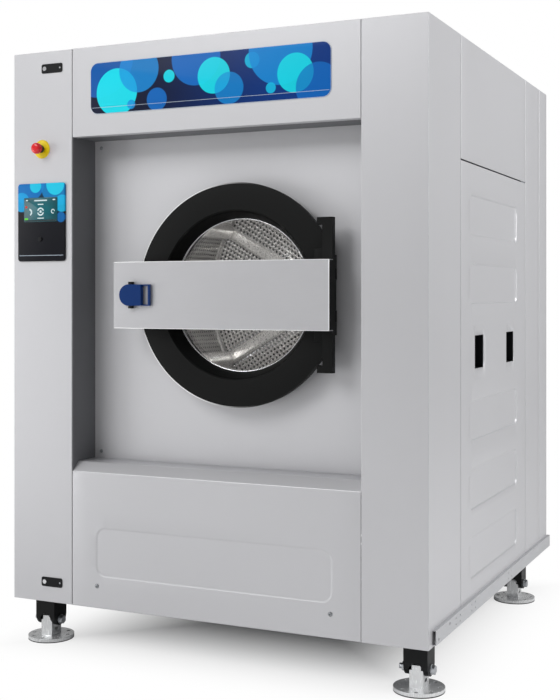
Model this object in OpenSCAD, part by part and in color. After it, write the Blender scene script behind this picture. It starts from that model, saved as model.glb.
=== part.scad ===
/* [Cabinet] */
// Width of the cabinet over its side panels
body_w = 1410; // [1390:5:1460]
// Depth of the cabinet over its front and rear panels
body_d = 1490; // [1480:5:1560]
// Height of the panels, without the feet
body_h = 1770; // [1750:5:1860]
// Clear height under the cabinet
leg_h = 150; // [140:2:180]
// Thickness of the cover sheets
sheet_t = 3; // [2:0.5:4]
// Gap between neighbouring covers
seam = 2; // [1:0.5:3]
// Gap between the covers of the sides
side_gap = 4; // [2:0.5:6]
// Width of the left column, which is the control door
col_l = 230; // [225:1:240]
// Width of the right column cover
col_r = 200; // [180:1:210]
// Depth of the column covers along the sides
col_side = 315; // [290:5:340]
// Height of the header panel
header_h = 282; // [260:2:300]
// Height of the front face of the lower panel
lower_h = 427; // [400:1:440]
// Rise of the sloped edge of the sill
sill_rise = 28; // [16:1:36]
// Run of the sloped edge of the sill
sill_run = 31; // [20:1:40]
// Depth of the recess that the door sits in
recess_d = 125; // [120:1:140]
// Depth of the fixed front covers
cover_d = 30; // [26:1:34]
// Depth of the control door
ctrl_d = 20; // [18:0.5:22]
// Gap behind the control door's hinged edge
ctrl_gap = 4; // [4:0.5:8]
// Distance of the middle side seam from the front
side_seam_y = 1143; // [1100:1:1170]
// Distance of the rear side seam from the front
rear_seam_y = 1366; // [1340:2:1390]
// Height of the level side seam above the cabinet's bottom
side_seam_z = 1397; // [1380:1:1450]
// Depth of the pressed fields
press_d = 4; // [2:0.5:6]

/* [Pressed fields and openings] */
// Width of the side fields
side_field_w = 595; // [400:1:610]
// Height of the side fields
side_field_h = 128; // [100:1:140]
// Corner radius of the side fields
side_field_r = 24; // [10:1:40]
// Pitch of the side fields
side_field_pitch = 213; // [200:1:220]
// Distance of the side fields from the front
side_field_y = 415; // [400:1:430]
// Top of the highest side field above the cabinet's bottom
side_field_z = 1298; // [1270:1:1320]
// Width of the side vents
vent_w = 101; // [60:1:110]
// Height of the side vents
vent_h = 104; // [60:1:110]
// Depth of the side vent cups
vent_d = 45; // [30:1:60]
// Distance of the lower front panel's field from the panel's left side
front_field_l = 86; // [60:1:160]
// Distance of the lower front panel's field from the opening's right side
front_field_rt = 88; // [60:1:160]
// Height of the field in the lower front panel
front_field_h = 156; // [120:1:200]
// Corner radius of the field in the lower front panel
front_field_r = 35; // [15:1:50]
// Distance of the graphic from the header's left side
graphic_l = 67; // [40:1:160]
// Distance of the graphic from the header's right side
graphic_rt = 91; // [40:1:160]
// Height of the header's graphic
graphic_h = 161; // [120:1:180]
// Corner radius of the header's graphic
graphic_r = 27; // [10:1:40]
// Thickness of the header's graphic
graphic_t = 1.5; // [1:0.1:2]

/* [Frame] */
// Width of the frame's square tube
post_w = 60; // [50:1:64]
// Wall of the frame's tube
tube_t = 4; // [3:0.5:6]
// Height of the base rails
rail_h = 80; // [70:1:90]
// Width of the cross beams that carry the springs
beam_w = 150; // [144:2:180]
// Depth of the bulkhead's cross tubes
bulk_d = 33; // [25:1:34]
// How far the trim rails stand out of the sides
trim_d = 11; // [8:1:18]
// Height of the trim rails' lower edge above the cabinet's bottom
trim_up = 7; // [4:1:14]
// Height of the trim rails
trim_h = 42; // [34:1:50]

/* [Feet] */
// Diameter of the foot flange
foot_d = 150; // [140:1:170]
// Thickness of the foot flange
foot_t = 10; // [8:0.5:14]
// Thickness of the rubber pad under it
pad_t = 3; // [2:0.5:6]
// Pitch circle of the anchor holes
foot_pcd = 120; // [112:1:126]
// Diameter of the anchor holes
foot_hole_d = 12.5; // [9:0.5:14]
// Number of anchor holes in a foot
foot_holes = 8; // [4:1:10]
// Width of the foot's stand
stand_w = 42; // [38:1:46]
// Depth of the foot's stand
stand_d = 52; // [44:1:60]
// Wall of the foot's stand
stand_t = 4; // [3:0.5:6]
// Width of the stand's narrow top
stand_top_w = 28; // [22:1:32]
// Thickness of the bracket's cheeks
cheek_t = 15; // [10:0.5:18]
// Depth of the leg brackets
bracket_d = 68; // [62:1:76]
// Height of the pivot bolt below the cabinet
leg_bolt_drop = 86; // [80:0.5:90]
// Diameter of the pivot bolts
leg_bolt_d = 16; // [12:0.5:18]
// Distance of the feet from the sides
foot_in_x = 65; // [62:1:90]
// Distance of the front feet from the front
foot_in_front = 112; // [100:1:140]
// Distance of the rear feet from the rear
foot_in_rear = 254; // [200:2:300]

/* [Loading door] */
// Door axis to the right of the cabinet's middle
door_x = 72; // [60:1:76]
// Door axis above the cabinet's bottom
door_up = 986; // [970:1:1000]
// Outer diameter of the door ring
ring_od = 684; // [670:2:700]
// Inner diameter of the ring's front face
ring_id = 517; // [500:1:530]
// Diameter of the window edge
window_d = 470; // [460:1:476]
// How far the ring's face stands in front of the recess panel
ring_stand = 65; // [60:1:70]
// Gap between the ring and the recess panel
ring_gap = 4; // [3:0.5:8]
// Right side of the ring, where the hinge bar starts
ring_cut = 296; // [290:1:304]
// Thickness of the ring's rim
ring_t = 16; // [12:1:22]
// Outer diameter of the ring's body behind the rim
ring_body_d = 578; // [566:2:584]
// Diameter of the port in the recess panel
port_d = 500; // [496:1:510]
// Thickness of the glass
glass_t = 6; // [4:0.5:8]
// Depth of the glass bowl behind its flange
bowl_d = 52; // [30:1:60]
// Height of the crossbar
bar_h = 208; // [190:1:220]
// Thickness of the crossbar
bar_t = 30; // [26:1:34]
// Gap between the crossbar and the ring
bar_gap = 20; // [18:0.5:24]
// Sheet thickness of the crossbar
bar_sheet = 2; // [1.5:0.25:3]
// Length of the crossbar left of the door axis
bar_l = 401; // [396:1:410]
// Length of the crossbar right of the door axis
bar_r = 331; // [328:1:336]
// Height of the hinge bar
hinge_h = 456; // [420:2:470]
// Width of the hinge bar
hinge_w = 32; // [27:1:34]
// Depth of the hinge bar
hinge_d = 22; // [20:1:26]
// Height over the hinge bar's two lugs
lug_span = 236; // [210:2:250]
// Diameter of the hinge pins
pin_d = 14; // [10:0.5:16]
// Distance of the hinge axis behind the hinge bar
pin_back = 15; // [14.5:0.5:17]
// Running clearance of pins and shafts
run = 0.05; // [0.02:0.01:0.08]

/* [Door handle and latch] */
// Length of the handle
handle_l = 106; // [102:1:112]
// Height of the handle
handle_h = 66; // [60:1:70]
// Thickness of the handle
handle_t = 16; // [14:1:20]
// Gap between the handle and the crossbar
handle_gap = 2; // [1.5:0.25:3]
// Distance of the handle's left end from the crossbar's left end
handle_in = 31; // [28:1:34]
// Length of the handle's solid part
handle_solid = 78; // [74:1:82]
// Distance of the pivot from the handle's left end
handle_pivot = 35; // [34:1:38]
// Diameter of the handle's pin
handle_pin_d = 8; // [6:0.5:9]
// Height of the latch bolt
bolt_h = 20; // [14:1:24]
// Thickness of the latch bolt
bolt_t = 12; // [10:0.5:14]

/* [Control door] */
// Left side of the control panel from the cabinet's left side
panel_in = 19; // [16:1:22]
// Width of the control panel
panel_w = 183; // [170:1:188]
// Height of the control panel
panel_h = 251; // [230:1:260]
// Bottom of the control panel above the cabinet's bottom
panel_up = 1095; // [1080:1:1110]
// Thickness of the control panel
panel_t = 6; // [4:0.5:8]
// Width of the touch screen
screen_w = 130; // [110:1:140]
// Height of the touch screen
screen_h = 78; // [60:1:90]
// Diameter of the stop button's collar
stop_collar_d = 60; // [54:1:64]
// Diameter of the stop button's head
stop_head_d = 36; // [34:1:40]
// How far the stop button stands out of the front
stop_out = 41; // [40:0.5:46]
// Travel of the stop button
stop_travel = 6; // [4:0.5:7]
// Width of the lock plates
lock_w = 80; // [70:1:90]
// Height of the lock plates
lock_h = 30; // [24:1:34]
// Diameter of the lock cylinders
lock_d = 14; // [12:0.5:16]

/* [Tub and drum] */
// Clearance between the drum and the tub's wall
drum_clear = 48; // [40:1:60]
// Thickness of the drum's sheet
drum_t = 3; // [2:0.5:4]
// Depth of the drum
drum_len = 632; // [600:2:640]
// Diameter of the drum's mouth
mouth_d = 530; // [526:2:560]
// Number of lifters
lifters = 6; // [3:1:8]
// Height of the lifters
lifter_h = 40; // [25:1:60]
// Width of a lifter at its foot
lifter_w = 70; // [50:1:90]
// Clearance between the tub and the cabinet's right side
tub_side = 88; // [84:1:100]
// Wall of the tub
tub_t = 4; // [3:0.5:5]
// Clearance between the bulkhead and the tub
tub_gap = 10; // [8:1:14]
// Axial clearance between the drum and the tub
drum_gap = 20; // [16:1:24]
// Thickness of the tub's end plates
end_t = 4; // [3:0.5:6]
// Diameter of the drum's shaft
shaft_d = 90; // [70:1:96]
// Outer diameter of the bearings
bearing_d = 150; // [140:1:160]
// Diameter of the drum pulley
pulley_d = 560; // [540:2:580]
// Diameter of the motor pulley
motor_pulley_d = 110; // [100:1:120]
// Distance of the motor's axis below the drum's axis
motor_drop = 706; // [704:1:712]
// Diameter of the motor
motor_d = 260; // [230:2:264]
// Number of drive belts
belts = 4; // [2:1:4]
// Diameter of the suspension springs
spring_d = 140; // [110:2:144]
// Free travel of the suspension each way
bounce = 12; // [6:1:12]
// Length of the bearing housing
housing_len = 290; // [260:5:300]
// Radius of the bearing housing's flange
housing_r = 300; // [280:5:320]

/* [Services] */
// Outer diameter of the drain pipe
drain_d = 76; // [70:1:80]
// Wall of the drain pipe
drain_t = 4; // [3:0.5:5]
// Diameter of the water inlets
inlet_d = 33.2; // [26:0.2:34]
// How far the pipe ends stand out of the rear
stub_out = 41; // [38:1:60]
// Air gap between the fill pipe and the tub's inlet
fill_gap = 30; // [25:1:40]

/* [Hidden] */
$fn = 64;
// How far a cut runs past the face that it opens
past = 1;
// Root gap of the frame's welds and of other butted sheets
weld = 0.2;

// Cabinet planes
x1 = body_w / 2;
x0 = -x1;
y0 = -body_d / 2;
y1 = body_d / 2;
z0 = leg_h;
z1 = leg_h + body_h;
open_l = x0 + col_l;
open_r = x1 - col_r;
head_z = z1 - header_h;
sill_z0 = z0 + lower_h;
sill_z1 = sill_z0 + sill_rise;
rec_y = y0 + recess_d;
rec_back = rec_y + sheet_t;
front_y = y0 + cover_d;
rear_y = y1 - sheet_t;
frame_x = x1 - sheet_t;
inner_x = frame_x - post_w;
top_z = z1 - sheet_t;
lip = 20;

// Door planes
da_z = z0 + door_up;
ring_y = rec_y - ring_stand;
ring_back = rec_y - ring_gap;
bar_back = ring_y - bar_gap;
bar_y = bar_back - bar_t;
bar_x0 = door_x - bar_l;
hinge_x0 = door_x + ring_cut;
hinge_x1 = hinge_x0 + hinge_w;
pin_x = hinge_x0 + hinge_w / 2 + 1;
pin_y = bar_back + hinge_d + pin_back;
lug_h = 38;
lug_gap = 0.5;
hx = bar_x0 + handle_in;
piv_x = hx + handle_pivot;
piv_y = bar_y - 10;
bolt_y = (ring_y + bar_back) / 2;
tail_r = 5;
port_r = port_d / 2;

// Tub, drum and drive planes
tub_y0 = rec_back + bulk_d + tub_gap;
drum_y0 = tub_y0 + drum_gap;
drum_y1 = drum_y0 + drum_len;
spider_t = 24;
tub_y1 = drum_y1 + drum_t + spider_t + 18;
tub_r = x1 - door_x - tub_side;
drum_r = tub_r - tub_t - drum_clear - drum_t;
mouth_r = mouth_d / 2;
housing_y1 = tub_y1 + end_t + housing_len;
belt_y = housing_y1 + 20;
belt_w = 12;
belt_pitch = 17;
belt_t = 8;
pulley_w = belts * belt_pitch + 6;
motor_z = da_z - motor_drop;
motor_x = door_x;
beam_ys = [-450, 60];
beam_z = z0 + rail_h;
seat_z = beam_z + 210;
seat_t = 12;
spring_x = 380;
damper_x = 270;
cradle_x = spring_x + 70;
cradle_h = 260;
foot_x = spring_x - 30;
beam_tube = 60;
motor_y0 = beam_ys[1] + 70;
motor_y1 = belt_y - 30;

// Services
drain_x = door_x - 192;
drain_y = -200;
drain_z = z0 + 140;
drain_top = drain_z + 110;
drain_r = drain_d / 2;
valve_y = y1 - 145;
inlet_xs = [x0 + 305, x0 + 405, x0 + 505];
inlet_z = z1 - 140;
inlet_collar = 24;
drain_collar = drain_r + 4;
riser_y = rear_y - 102;
fill_z = z1 - 70;
gland_x = x0 + 145;
gland_z = z1 - 220;
tub_drop = tub_r - sqrt(pow(tub_r, 2) - pow(door_x - drain_x, 2));
nozzle_top = da_z + tub_r - tub_drop + 54;

// Control door
pv_x = x0 + 8;
pv_y = y0 + 10;
knuckle_r = 4.5;
door_pin_d = 5;
hinge_zs = [z0 + 180, z0 + 885, z1 - 180];
stop_x = x0 + 110;
stop_z = z0 + 1456;
lock_x = x0 + 122;
lock_plate_x = x0 + 109;
lock_zs = [z1 - 56, z0 + 65];
cam_l = 35;
cam_t = 3;
cam_y1 = front_y - 1;
screen_x = x0 + 44;
screen_z = panel_up + z0 + 127;

function bolt_slots(n, first, last) = [for (i = [0:n - 1]) first + i * (last - first) / (n - 1)];

module box(a, b) translate(a) cube(b - a);

module both_sides() {
    children();
    mirror([1, 0, 0]) children();
}

// A flat shape in x and z, as thick as from ya to yb
module plate_y(ya, yb) translate([0, yb, 0]) rotate([90, 0, 0]) linear_extrude(yb - ya) children();

// A flat shape in y and z, as thick as from xa to xb
module plate_x(xa, xb) translate([xa, 0, 0]) rotate([90, 0, 90]) linear_extrude(xb - xa)
    children();

module rod_y(x, z, r, ya, yb) translate([x, ya, z]) rotate([-90, 0, 0]) cylinder(h = yb - ya, r = r);

module rod_x(y, z, r, xa, xb) translate([xa, y, z]) rotate([0, 90, 0]) cylinder(h = xb - xa, r = r);

module rod_z(x, y, r, za, zb) translate([x, y, za]) cylinder(h = zb - za, r = r);

// A profile of radius and y, turned about the line along y through x and z
module turned_y(x, z, pts, fn = 120) translate([x, 0, z]) rotate([-90, 0, 0])
    rotate_extrude($fn = fn) polygon(pts);

module round_rect(xa, za, xb, zb, r) {
    translate([xa + r, za]) square([xb - xa - 2 * r, zb - za]);
    translate([xa, za + r]) square([xb - xa, zb - za - 2 * r]);
    for (x = [xa + r, xb - r], z = [za + r, zb - r]) translate([x, z]) circle(r, $fn = 32);
}

module tube(a, b, dir) difference() {
    box(a, b);
    box([for (i = [0:2]) i == dir ? a[i] - past : a[i] + tube_t],
        [for (i = [0:2]) i == dir ? b[i] + past : b[i] - tube_t]);
}

// A front cover with its edges turned back
module front_tray(xa, xb, za, zb, depth) difference() {
    box([xa, y0, za], [xb, y0 + depth, zb]);
    box([xa + sheet_t, y0 + sheet_t, za + sheet_t],
        [xb - sheet_t, y0 + depth + past, zb - sheet_t]);
}

module base_frame() color("#8C9096") {
    both_sides() {
        tube([inner_x, front_y, z0], [frame_x, rear_y, beam_z], 1);
        tube([inner_x, front_y, top_z - post_w], [frame_x, rear_y, top_z], 1);
        for (y = [front_y, rec_back, y0 + side_seam_y - post_w, rear_y - post_w])
            tube([inner_x, y, beam_z + weld], [frame_x, y + post_w, top_z - post_w - weld], 2);
    }
    cross = inner_x - weld;
    for (y = [front_y, rear_y - post_w]) {
        tube([-cross, y, z0], [cross, y + post_w, beam_z], 0);
        tube([-cross, y, top_z - post_w], [cross, y + post_w, top_z], 0);
    }
    for (y = beam_ys) tube([-cross, y - beam_w / 2, z0], [cross, y + beam_w / 2, beam_z], 0);
    for (z = [sill_z1 - post_w, head_z])
        tube([-cross, rec_back, z], [cross, rec_back + bulk_d, z + post_w], 0);
}

// Middle of each group of holes in the trim rails
trim_bolt_ys = [y0 + 248, y0 + 415, y0 + 869];

// A rail on the right side that starts at ya
module trim_rail(ya) {
    wall = 2;
    za = z0 + trim_up;
    mid = za + trim_h / 2;
    difference() {
        box([x1, ya, za], [x1 + trim_d, y1 + 10, za + trim_h]);
        box([x1 - past, ya - past, za + wall], [x1 + trim_d - wall, y1 + 11, za + trim_h - wall]);
        plate_x(x1, x1 + trim_d + past) {
            for (y = trim_bolt_ys, dy = [-21, 21], dz = [-9, 9])
                translate([y + dy, mid + dz]) circle(3, $fn = 24);
            translate([y0 + 165, mid + 9]) circle(4, $fn = 24);
            translate([y0 + 59, mid - 9]) circle(4, $fn = 24);
        }
    }
}

module trim_rails() color("#D8DADD") {
    trim_rail(front_y + 4);
    mirror([1, 0, 0]) trim_rail(y0 + ctrl_d + ctrl_gap);
}

// Places its children at the four feet
module at_feet()
    for (x = [x0 + foot_in_x, x1 - foot_in_x], y = [y0 + foot_in_front, y1 - foot_in_rear])
        translate([x, y, 0]) children();

leg_fit = 0.3;
arch_r = stand_w / 2 + leg_fit;
bracket_w = 2 * (arch_r + cheek_t);
bolt_z = z0 - leg_bolt_drop;
ear_r = bracket_d / 2;
ear_z = bolt_z + 15;
slot_z = pad_t + foot_t + 19;

module leg_brackets() color("#1C1D1F") at_feet() difference() {
    plate_x(-bracket_w / 2, bracket_w / 2) {
        translate([-ear_r, ear_z]) square([bracket_d, z0 - ear_z]);
        translate([0, ear_z]) circle(ear_r);
    }
    plate_y(-ear_r - past, ear_r + past) {
        translate([-arch_r, ear_z - ear_r - past]) square([2 * arch_r, ear_r + bolt_z - ear_z + past]);
        translate([0, bolt_z]) circle(arch_r);
    }
    rod_x(0, bolt_z, leg_bolt_d / 2 + leg_fit, -bracket_w, bracket_w);
}

module foot_stands() color("#A9ABAE") at_feet() difference() {
    union() {
        rod_z(0, 0, foot_d / 2, pad_t, pad_t + foot_t);
        box([-stand_w / 2, -stand_d / 2, pad_t + foot_t - 0.5], [stand_w / 2, stand_d / 2, bolt_z]);
        box([-stand_top_w / 2, -stand_d / 2, bolt_z - 1], [stand_top_w / 2, stand_d / 2, bolt_z + 14]);
    }
    box([-stand_top_w / 2 + stand_t, -stand_d / 2 + stand_t, pad_t + foot_t + 6],
        [stand_top_w / 2 - stand_t, stand_d / 2 - stand_t, z0]);
    box([-stand_w / 2 + stand_t, -stand_d / 2 + stand_t, pad_t + foot_t + 6],
        [stand_w / 2 - stand_t, stand_d / 2 - stand_t, bolt_z - leg_bolt_d / 2 - 6]);
    for (y = [-5, 5]) rod_x(y, slot_z, 5, -stand_w, stand_w);
    box([-stand_w, -5, slot_z - 5], [stand_w, 5, slot_z + 5]);
    rod_x(0, bolt_z, leg_bolt_d / 2 + leg_fit, -stand_w, stand_w);
    for (i = [0:foot_holes - 1]) rotate(10 + i * 360 / foot_holes)
        rod_z(foot_pcd / 2, 0, foot_hole_d / 2, 0, pad_t + foot_t + past);
}

module foot_pads() color("#17181A") at_feet() difference() {
    rod_z(0, 0, foot_d / 2, 0, pad_t);
    for (i = [0:foot_holes - 1]) rotate(10 + i * 360 / foot_holes)
        rod_z(foot_pcd / 2, 0, foot_hole_d / 2, -past, pad_t + past);
}

module leg_bolts() color("#B9BBBE") at_feet() {
    half = bracket_w / 2;
    rod_x(0, bolt_z, leg_bolt_d / 2, -half - 22, half + 4);
    difference() {
        rod_x(0, bolt_z, 15, half, half + 3);
        rod_x(0, bolt_z, leg_bolt_d / 2, half - past, half + 4);
    }
    translate([half + 3, 0, bolt_z]) rotate([0, 90, 0]) cylinder(h = 10, r = 13.9, $fn = 6);
    translate([-half - 13, 0, bolt_z]) rotate([0, 90, 0]) cylinder(h = 13, r = 13.9, $fn = 6);
}

graphic_z = head_z + 148;

module header_panel() color("#CFD0D3") {
    front_tray(open_l - sheet_t, open_r - seam / 2, head_z, z1, cover_d);
    box([open_l - sheet_t + 1, front_y - sheet_t, top_z - lip], [open_r - seam, front_y, top_z + 1]);
}

module header_graphic() color("#0E72CC") plate_y(y0 - graphic_t, y0)
    round_rect(open_l + graphic_l, graphic_z - graphic_h / 2,
        open_r - graphic_rt, graphic_z + graphic_h / 2, graphic_r);

module column_covers() color("#C6C7CA") {
    front_tray(open_r, x1, z0, z1, cover_d);
    box([x1 - sheet_t, y0 + cover_d - past, z0], [x1, y0 + col_side - side_gap, z1]);
    box([x0, y0 + ctrl_d + ctrl_gap, z0], [x0 + sheet_t, y0 + col_side - side_gap, z1]);
}

field_xs = [open_l + front_field_l, open_r - front_field_rt];
field_z = z0 + 99;

module lower_front_panel() color("#C4C5C8") {
    xa = open_l - sheet_t;
    xb = open_r - seam / 2;
    difference() {
        union() {
            plate_x(xa, xb) polygon([[y0, z0], [y0, sill_z0], [y0 + sill_run, sill_z1],
                [rec_y, sill_z1], [rec_y, sill_z1 - sheet_t], [y0 + sill_run + 1, sill_z1 - sheet_t],
                [y0 + sheet_t, sill_z0 - 1], [y0 + sheet_t, z0]]);
            plate_y(y0, y0 + sheet_t + press_d) round_rect(field_xs[0] - sheet_t, field_z - sheet_t,
                field_xs[1] + sheet_t, field_z + front_field_h + sheet_t, front_field_r + sheet_t);
        }
        plate_y(y0 - past, y0 + press_d) round_rect(field_xs[0], field_z, field_xs[1],
            field_z + front_field_h, front_field_r);
    }
    box([xa, y0 + sheet_t - past, z0], [xb, front_y, z0 + sheet_t]);
    box([xa, front_y - sheet_t, z0 + 1], [xb, front_y, z0 + lip]);
}

// A screw head that lies on a face, with a hexagon socket
module screw_head(r, h) difference() {
    rotate_extrude($fn = 48)
        polygon([[0, 0], [r, 0], [r, h * 0.3], [r * 0.72, h * 0.85], [r * 0.5, h], [0, h]]);
    translate([0, 0, h * 0.4]) cylinder(h = h, r = r * 0.36, $fn = 6);
}

module cover_screws() color("#B4B6BA") {
    for (x = [open_l + 90, open_r - 95])
        translate([x, y0, z0 + 70]) rotate([90, 0, 0]) screw_head(7, 4);
    for (x = [x0 + 40, open_l + 27, open_r + 50, x1 - 40])
        translate([x, front_y + 40, z1]) screw_head(10, 8);
    for (x = [open_l + 24, open_r - 24], z = [sill_z1 + 22, head_z - 22])
        translate([x, rec_y, z]) rotate([90, 0, 0]) screw_head(6, 4);
}

module recess_surround() color("#B9BABE") {
    plate_x(open_l - sheet_t, open_l) polygon([[y0, sill_z0 + weld], [y0 + sill_run, sill_z1 + weld],
        [rec_y, sill_z1 + weld], [rec_y, head_z + sheet_t], [front_y, head_z + sheet_t],
        [front_y, head_z - weld], [y0, head_z - weld]]);
    box([open_r, front_y, sill_z1 - 40], [open_r + sheet_t, rec_y, head_z + sheet_t]);
    box([open_l + weld, front_y, head_z], [open_r - weld, rec_y, head_z + sheet_t]);
}

module recess_panel() color("#C9CACD") difference() {
    box([-frame_x, rec_y, sill_z1 - post_w], [frame_x, rec_back, head_z + post_w]);
    rod_y(door_x, da_z, port_r, rec_y - past, rec_back + past);
}

// Rows of the side fields, counted from the top; the third row holds the vents
side_rows = [for (i = [0:4]) i < 2 ? i : i + 1];
vent_row_z = z0 + side_field_z - 2 * side_field_pitch - side_field_h / 2;
vent_ys = [side_field_y + 52, side_field_y + 445];

module side_field(i, grow) {
    top = z0 + side_field_z - i * side_field_pitch;
    round_rect(y0 + side_field_y - grow, top - side_field_h - grow,
        y0 + side_field_y + side_field_w + grow, top + grow, side_field_r + grow);
}

module side_panels() color("#CDCED2") both_sides() {
    ya = y0 + col_side;
    yb = y0 + side_seam_y;
    yc = y0 + rear_seam_y;
    difference() {
        union() {
            box([frame_x, ya, z0], [x1, yb - side_gap, z0 + side_seam_z - side_gap]);
            for (i = side_rows) plate_x(x1 - sheet_t - press_d, x1) side_field(i, sheet_t);
        }
        for (i = side_rows) plate_x(x1 - press_d, x1 + past) side_field(i, 0);
        for (y = vent_ys) box([frame_x - past, y0 + y, vent_row_z - vent_h / 2],
            [x1 + past, y0 + y + vent_w, vent_row_z + vent_h / 2]);
    }
    box([frame_x, ya, z0 + side_seam_z], [x1, yb - side_gap, z1]);
    box([frame_x, yb, z0], [x1, yc - side_gap, z1]);
    box([frame_x, yc, z0], [x1, y1, z1]);
}

module side_vent_cups() color("#0E0F10") both_sides() for (y = vent_ys) difference() {
    wall = 3;
    box([frame_x - vent_d, y0 + y - wall, vent_row_z - vent_h / 2 - wall],
        [frame_x, y0 + y + vent_w + wall, vent_row_z + vent_h / 2 + wall]);
    box([frame_x - vent_d + wall, y0 + y, vent_row_z - vent_h / 2],
        [frame_x + past, y0 + y + vent_w, vent_row_z + vent_h / 2]);
}

module top_panel() color("#D2D3D6") {
    box([-frame_x, front_y + seam, top_z], [frame_x, y1, z1]);
    box([-frame_x, y0 + ctrl_d + ctrl_gap, top_z], [open_l - sheet_t - seam, front_y + seam + past, z1]);
}

rear_seam_z = z0 + 950;

module rear_panels() color("#C8C9CC") difference() {
    union() {
        box([-frame_x, rear_y, z0], [frame_x, y1, rear_seam_z - seam]);
        box([-frame_x, rear_y, rear_seam_z], [frame_x, y1, top_z]);
    }
    for (x = inlet_xs) rod_y(x, inlet_z, inlet_collar + 0.5, rear_y - past, y1 + past);
    rod_y(drain_x, drain_z, drain_collar + 0.5, rear_y - past, y1 + past);
    rod_y(gland_x, gland_z, 10.5, rear_y - past, y1 + past);
    for (i = [0:9], x = [x1 - 585, x1 - 285]) box([x, rear_y - past, rear_seam_z + 200 + i * 30],
        [x + 220, y1 + past, rear_seam_z + 208 + i * 30]);
}

module control_door_hinges() color("#5B5E63") {
    for (z = hinge_zs) {
        box([pv_x - 3, pv_y, z - 14], [pv_x + 5, front_y, z + 14]);
        rod_z(pv_x, pv_y, knuckle_r, z - 14, z + 14);
        rod_z(pv_x, pv_y, door_pin_d / 2, z - 40, z + 40);
    }
    for (z = lock_zs) {
        box([lock_x + 24, cam_y1 - cam_t - 4, z - 15],
            [lock_x + 62, cam_y1 - cam_t - 1, z + 15]);
        box([lock_x + 54, cam_y1 - cam_t - 2, z - 15], [lock_x + 62, front_y, z + 15]);
    }
}

// z of the lower face of each fixed knuckle of the loading door
knuckle_h = 34;
hinge_top = da_z + hinge_h / 2;
hinge_bottom = da_z - hinge_h / 2;
lug_zs = [da_z + lug_span / 2 - lug_h, da_z - lug_span / 2];
knuckle_zs = [lug_zs[0] - lug_gap - knuckle_h, lug_zs[1] + lug_h + lug_gap];

module door_hinge_brackets() color("#232427") {
    fixed_r = pin_back - 1.5;
    web_x = pin_x - 5;
    box([hinge_x0 - 5, rec_y - 8, lug_zs[1]], [web_x - 2, rec_y, lug_zs[0] + lug_h]);
    for (i = [0, 1]) {
        z = knuckle_zs[i];
        rod_z(pin_x, pin_y, fixed_r, z, z + knuckle_h);
        box([pin_x - fixed_r, pin_y, z], [web_x, rec_y - 7, z + knuckle_h]);
        rod_z(pin_x, pin_y, pin_d / 2, i == 0 ? z : lug_zs[1] + 1,
            i == 0 ? lug_zs[0] + lug_h - 1 : z + knuckle_h);
    }
}

bolt_x0 = bar_x0 + 26;
striker_x1 = bolt_x0 + 18;

module lock_striker() color("#2A2B2E") difference() {
    box([bar_x0 + 4, bar_back + 1, da_z - 32], [striker_x1, rec_y, da_z + 32]);
    box([bolt_x0 - 2, bar_back, da_z - bolt_h / 2 - 1.5],
        [striker_x1 + past, bolt_y + bolt_t / 2 + 2.5, da_z + bolt_h / 2 + 1.5]);
}

module water_inlet_valves() color("#B08D4A") {
    pipe_r = 18;
    for (x = inlet_xs) {
        rod_y(x, inlet_z, inlet_d / 2, y1 - past, y1 + stub_out);
        rod_y(x, inlet_z, inlet_collar, rear_y - 15, y1);
    }
    box([inlet_xs[0] - 40, rear_y - 80, inlet_z - 34], [drain_x + 30, rear_y - 14, inlet_z + 34]);
    rod_y(drain_x, inlet_z, pipe_r, riser_y, rear_y - 78);
    rod_z(drain_x, riser_y, pipe_r, inlet_z, fill_z);
    rod_y(drain_x, fill_z, pipe_r, 0, riser_y);
    rod_z(drain_x, 0, pipe_r, nozzle_top + fill_gap, fill_z);
    for (p = [[riser_y, inlet_z], [riser_y, fill_z], [0, fill_z]])
        translate([drain_x, p[0], p[1]]) sphere(pipe_r, $fn = 32);
}

module drain_valve_body() color("#6B6E73") difference() {
    union() {
        rod_z(drain_x, drain_y, drain_r, drain_z, drain_top);
        rod_y(drain_x, drain_z, drain_r, drain_y, y1 + stub_out);
        rod_y(drain_x, drain_z, drain_collar, rear_y - 6, y1);
        translate([drain_x, drain_y, drain_z]) sphere(drain_r);
        for (y = [beam_ys[1], rear_y - post_w / 2])
            box([drain_x - 25, y - 20, beam_z], [drain_x + 25, y + 20, drain_z]);
        rod_x(valve_y, drain_z, 12, drain_x - drain_r - 8, drain_x);
        box([drain_x, valve_y - 30, drain_z - 25],
            [drain_x + drain_r + 62, valve_y + 30, drain_z + 25]);
    }
    rod_z(drain_x, drain_y, drain_r - drain_t, drain_z, drain_top + past);
    rod_y(drain_x, drain_z, drain_r - drain_t, drain_y, y1 + stub_out + past);
    translate([drain_x, drain_y, drain_z]) sphere(drain_r - drain_t);
    rod_x(valve_y, drain_z, 6 + run, drain_x - drain_r - 2, drain_x + drain_r + 30);
}

module drain_valve_disc() color("#C0C2C5") {
    rod_y(drain_x, drain_z, drain_r - drain_t - 0.4, valve_y - 3, valve_y + 3);
    rod_x(valve_y, drain_z, 6, drain_x - drain_r - 1.8, drain_x + drain_r + 29.8);
}

module cable_gland() color("#303236") difference() {
    union() {
        rod_y(gland_x, gland_z, 10, rear_y - 14, y1 + 4);
        rod_y(gland_x, gland_z, 15, y1, y1 + 4);
        translate([gland_x, y1 + 4, gland_z]) rotate([-90, 0, 0]) cylinder(h = 12, r = 16, $fn = 6);
        rod_y(gland_x, gland_z, 13, y1 + 16, y1 + 32);
    }
    rod_y(gland_x, gland_z, 7, rear_y - 16, y1 + 34);
}

module electrical_units() color("#3C4046") {
    xa = -inner_x + 6;
    xb = open_l - sheet_t - 12;
    for (u = [[550, 300, 80], [950, 260, 60], [1270, 110, 70], [1410, 60, 50]])
        box([xa, rec_y - u[2], z0 + u[0]], [xb, rec_y, z0 + u[0] + u[1]]);
}

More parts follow.
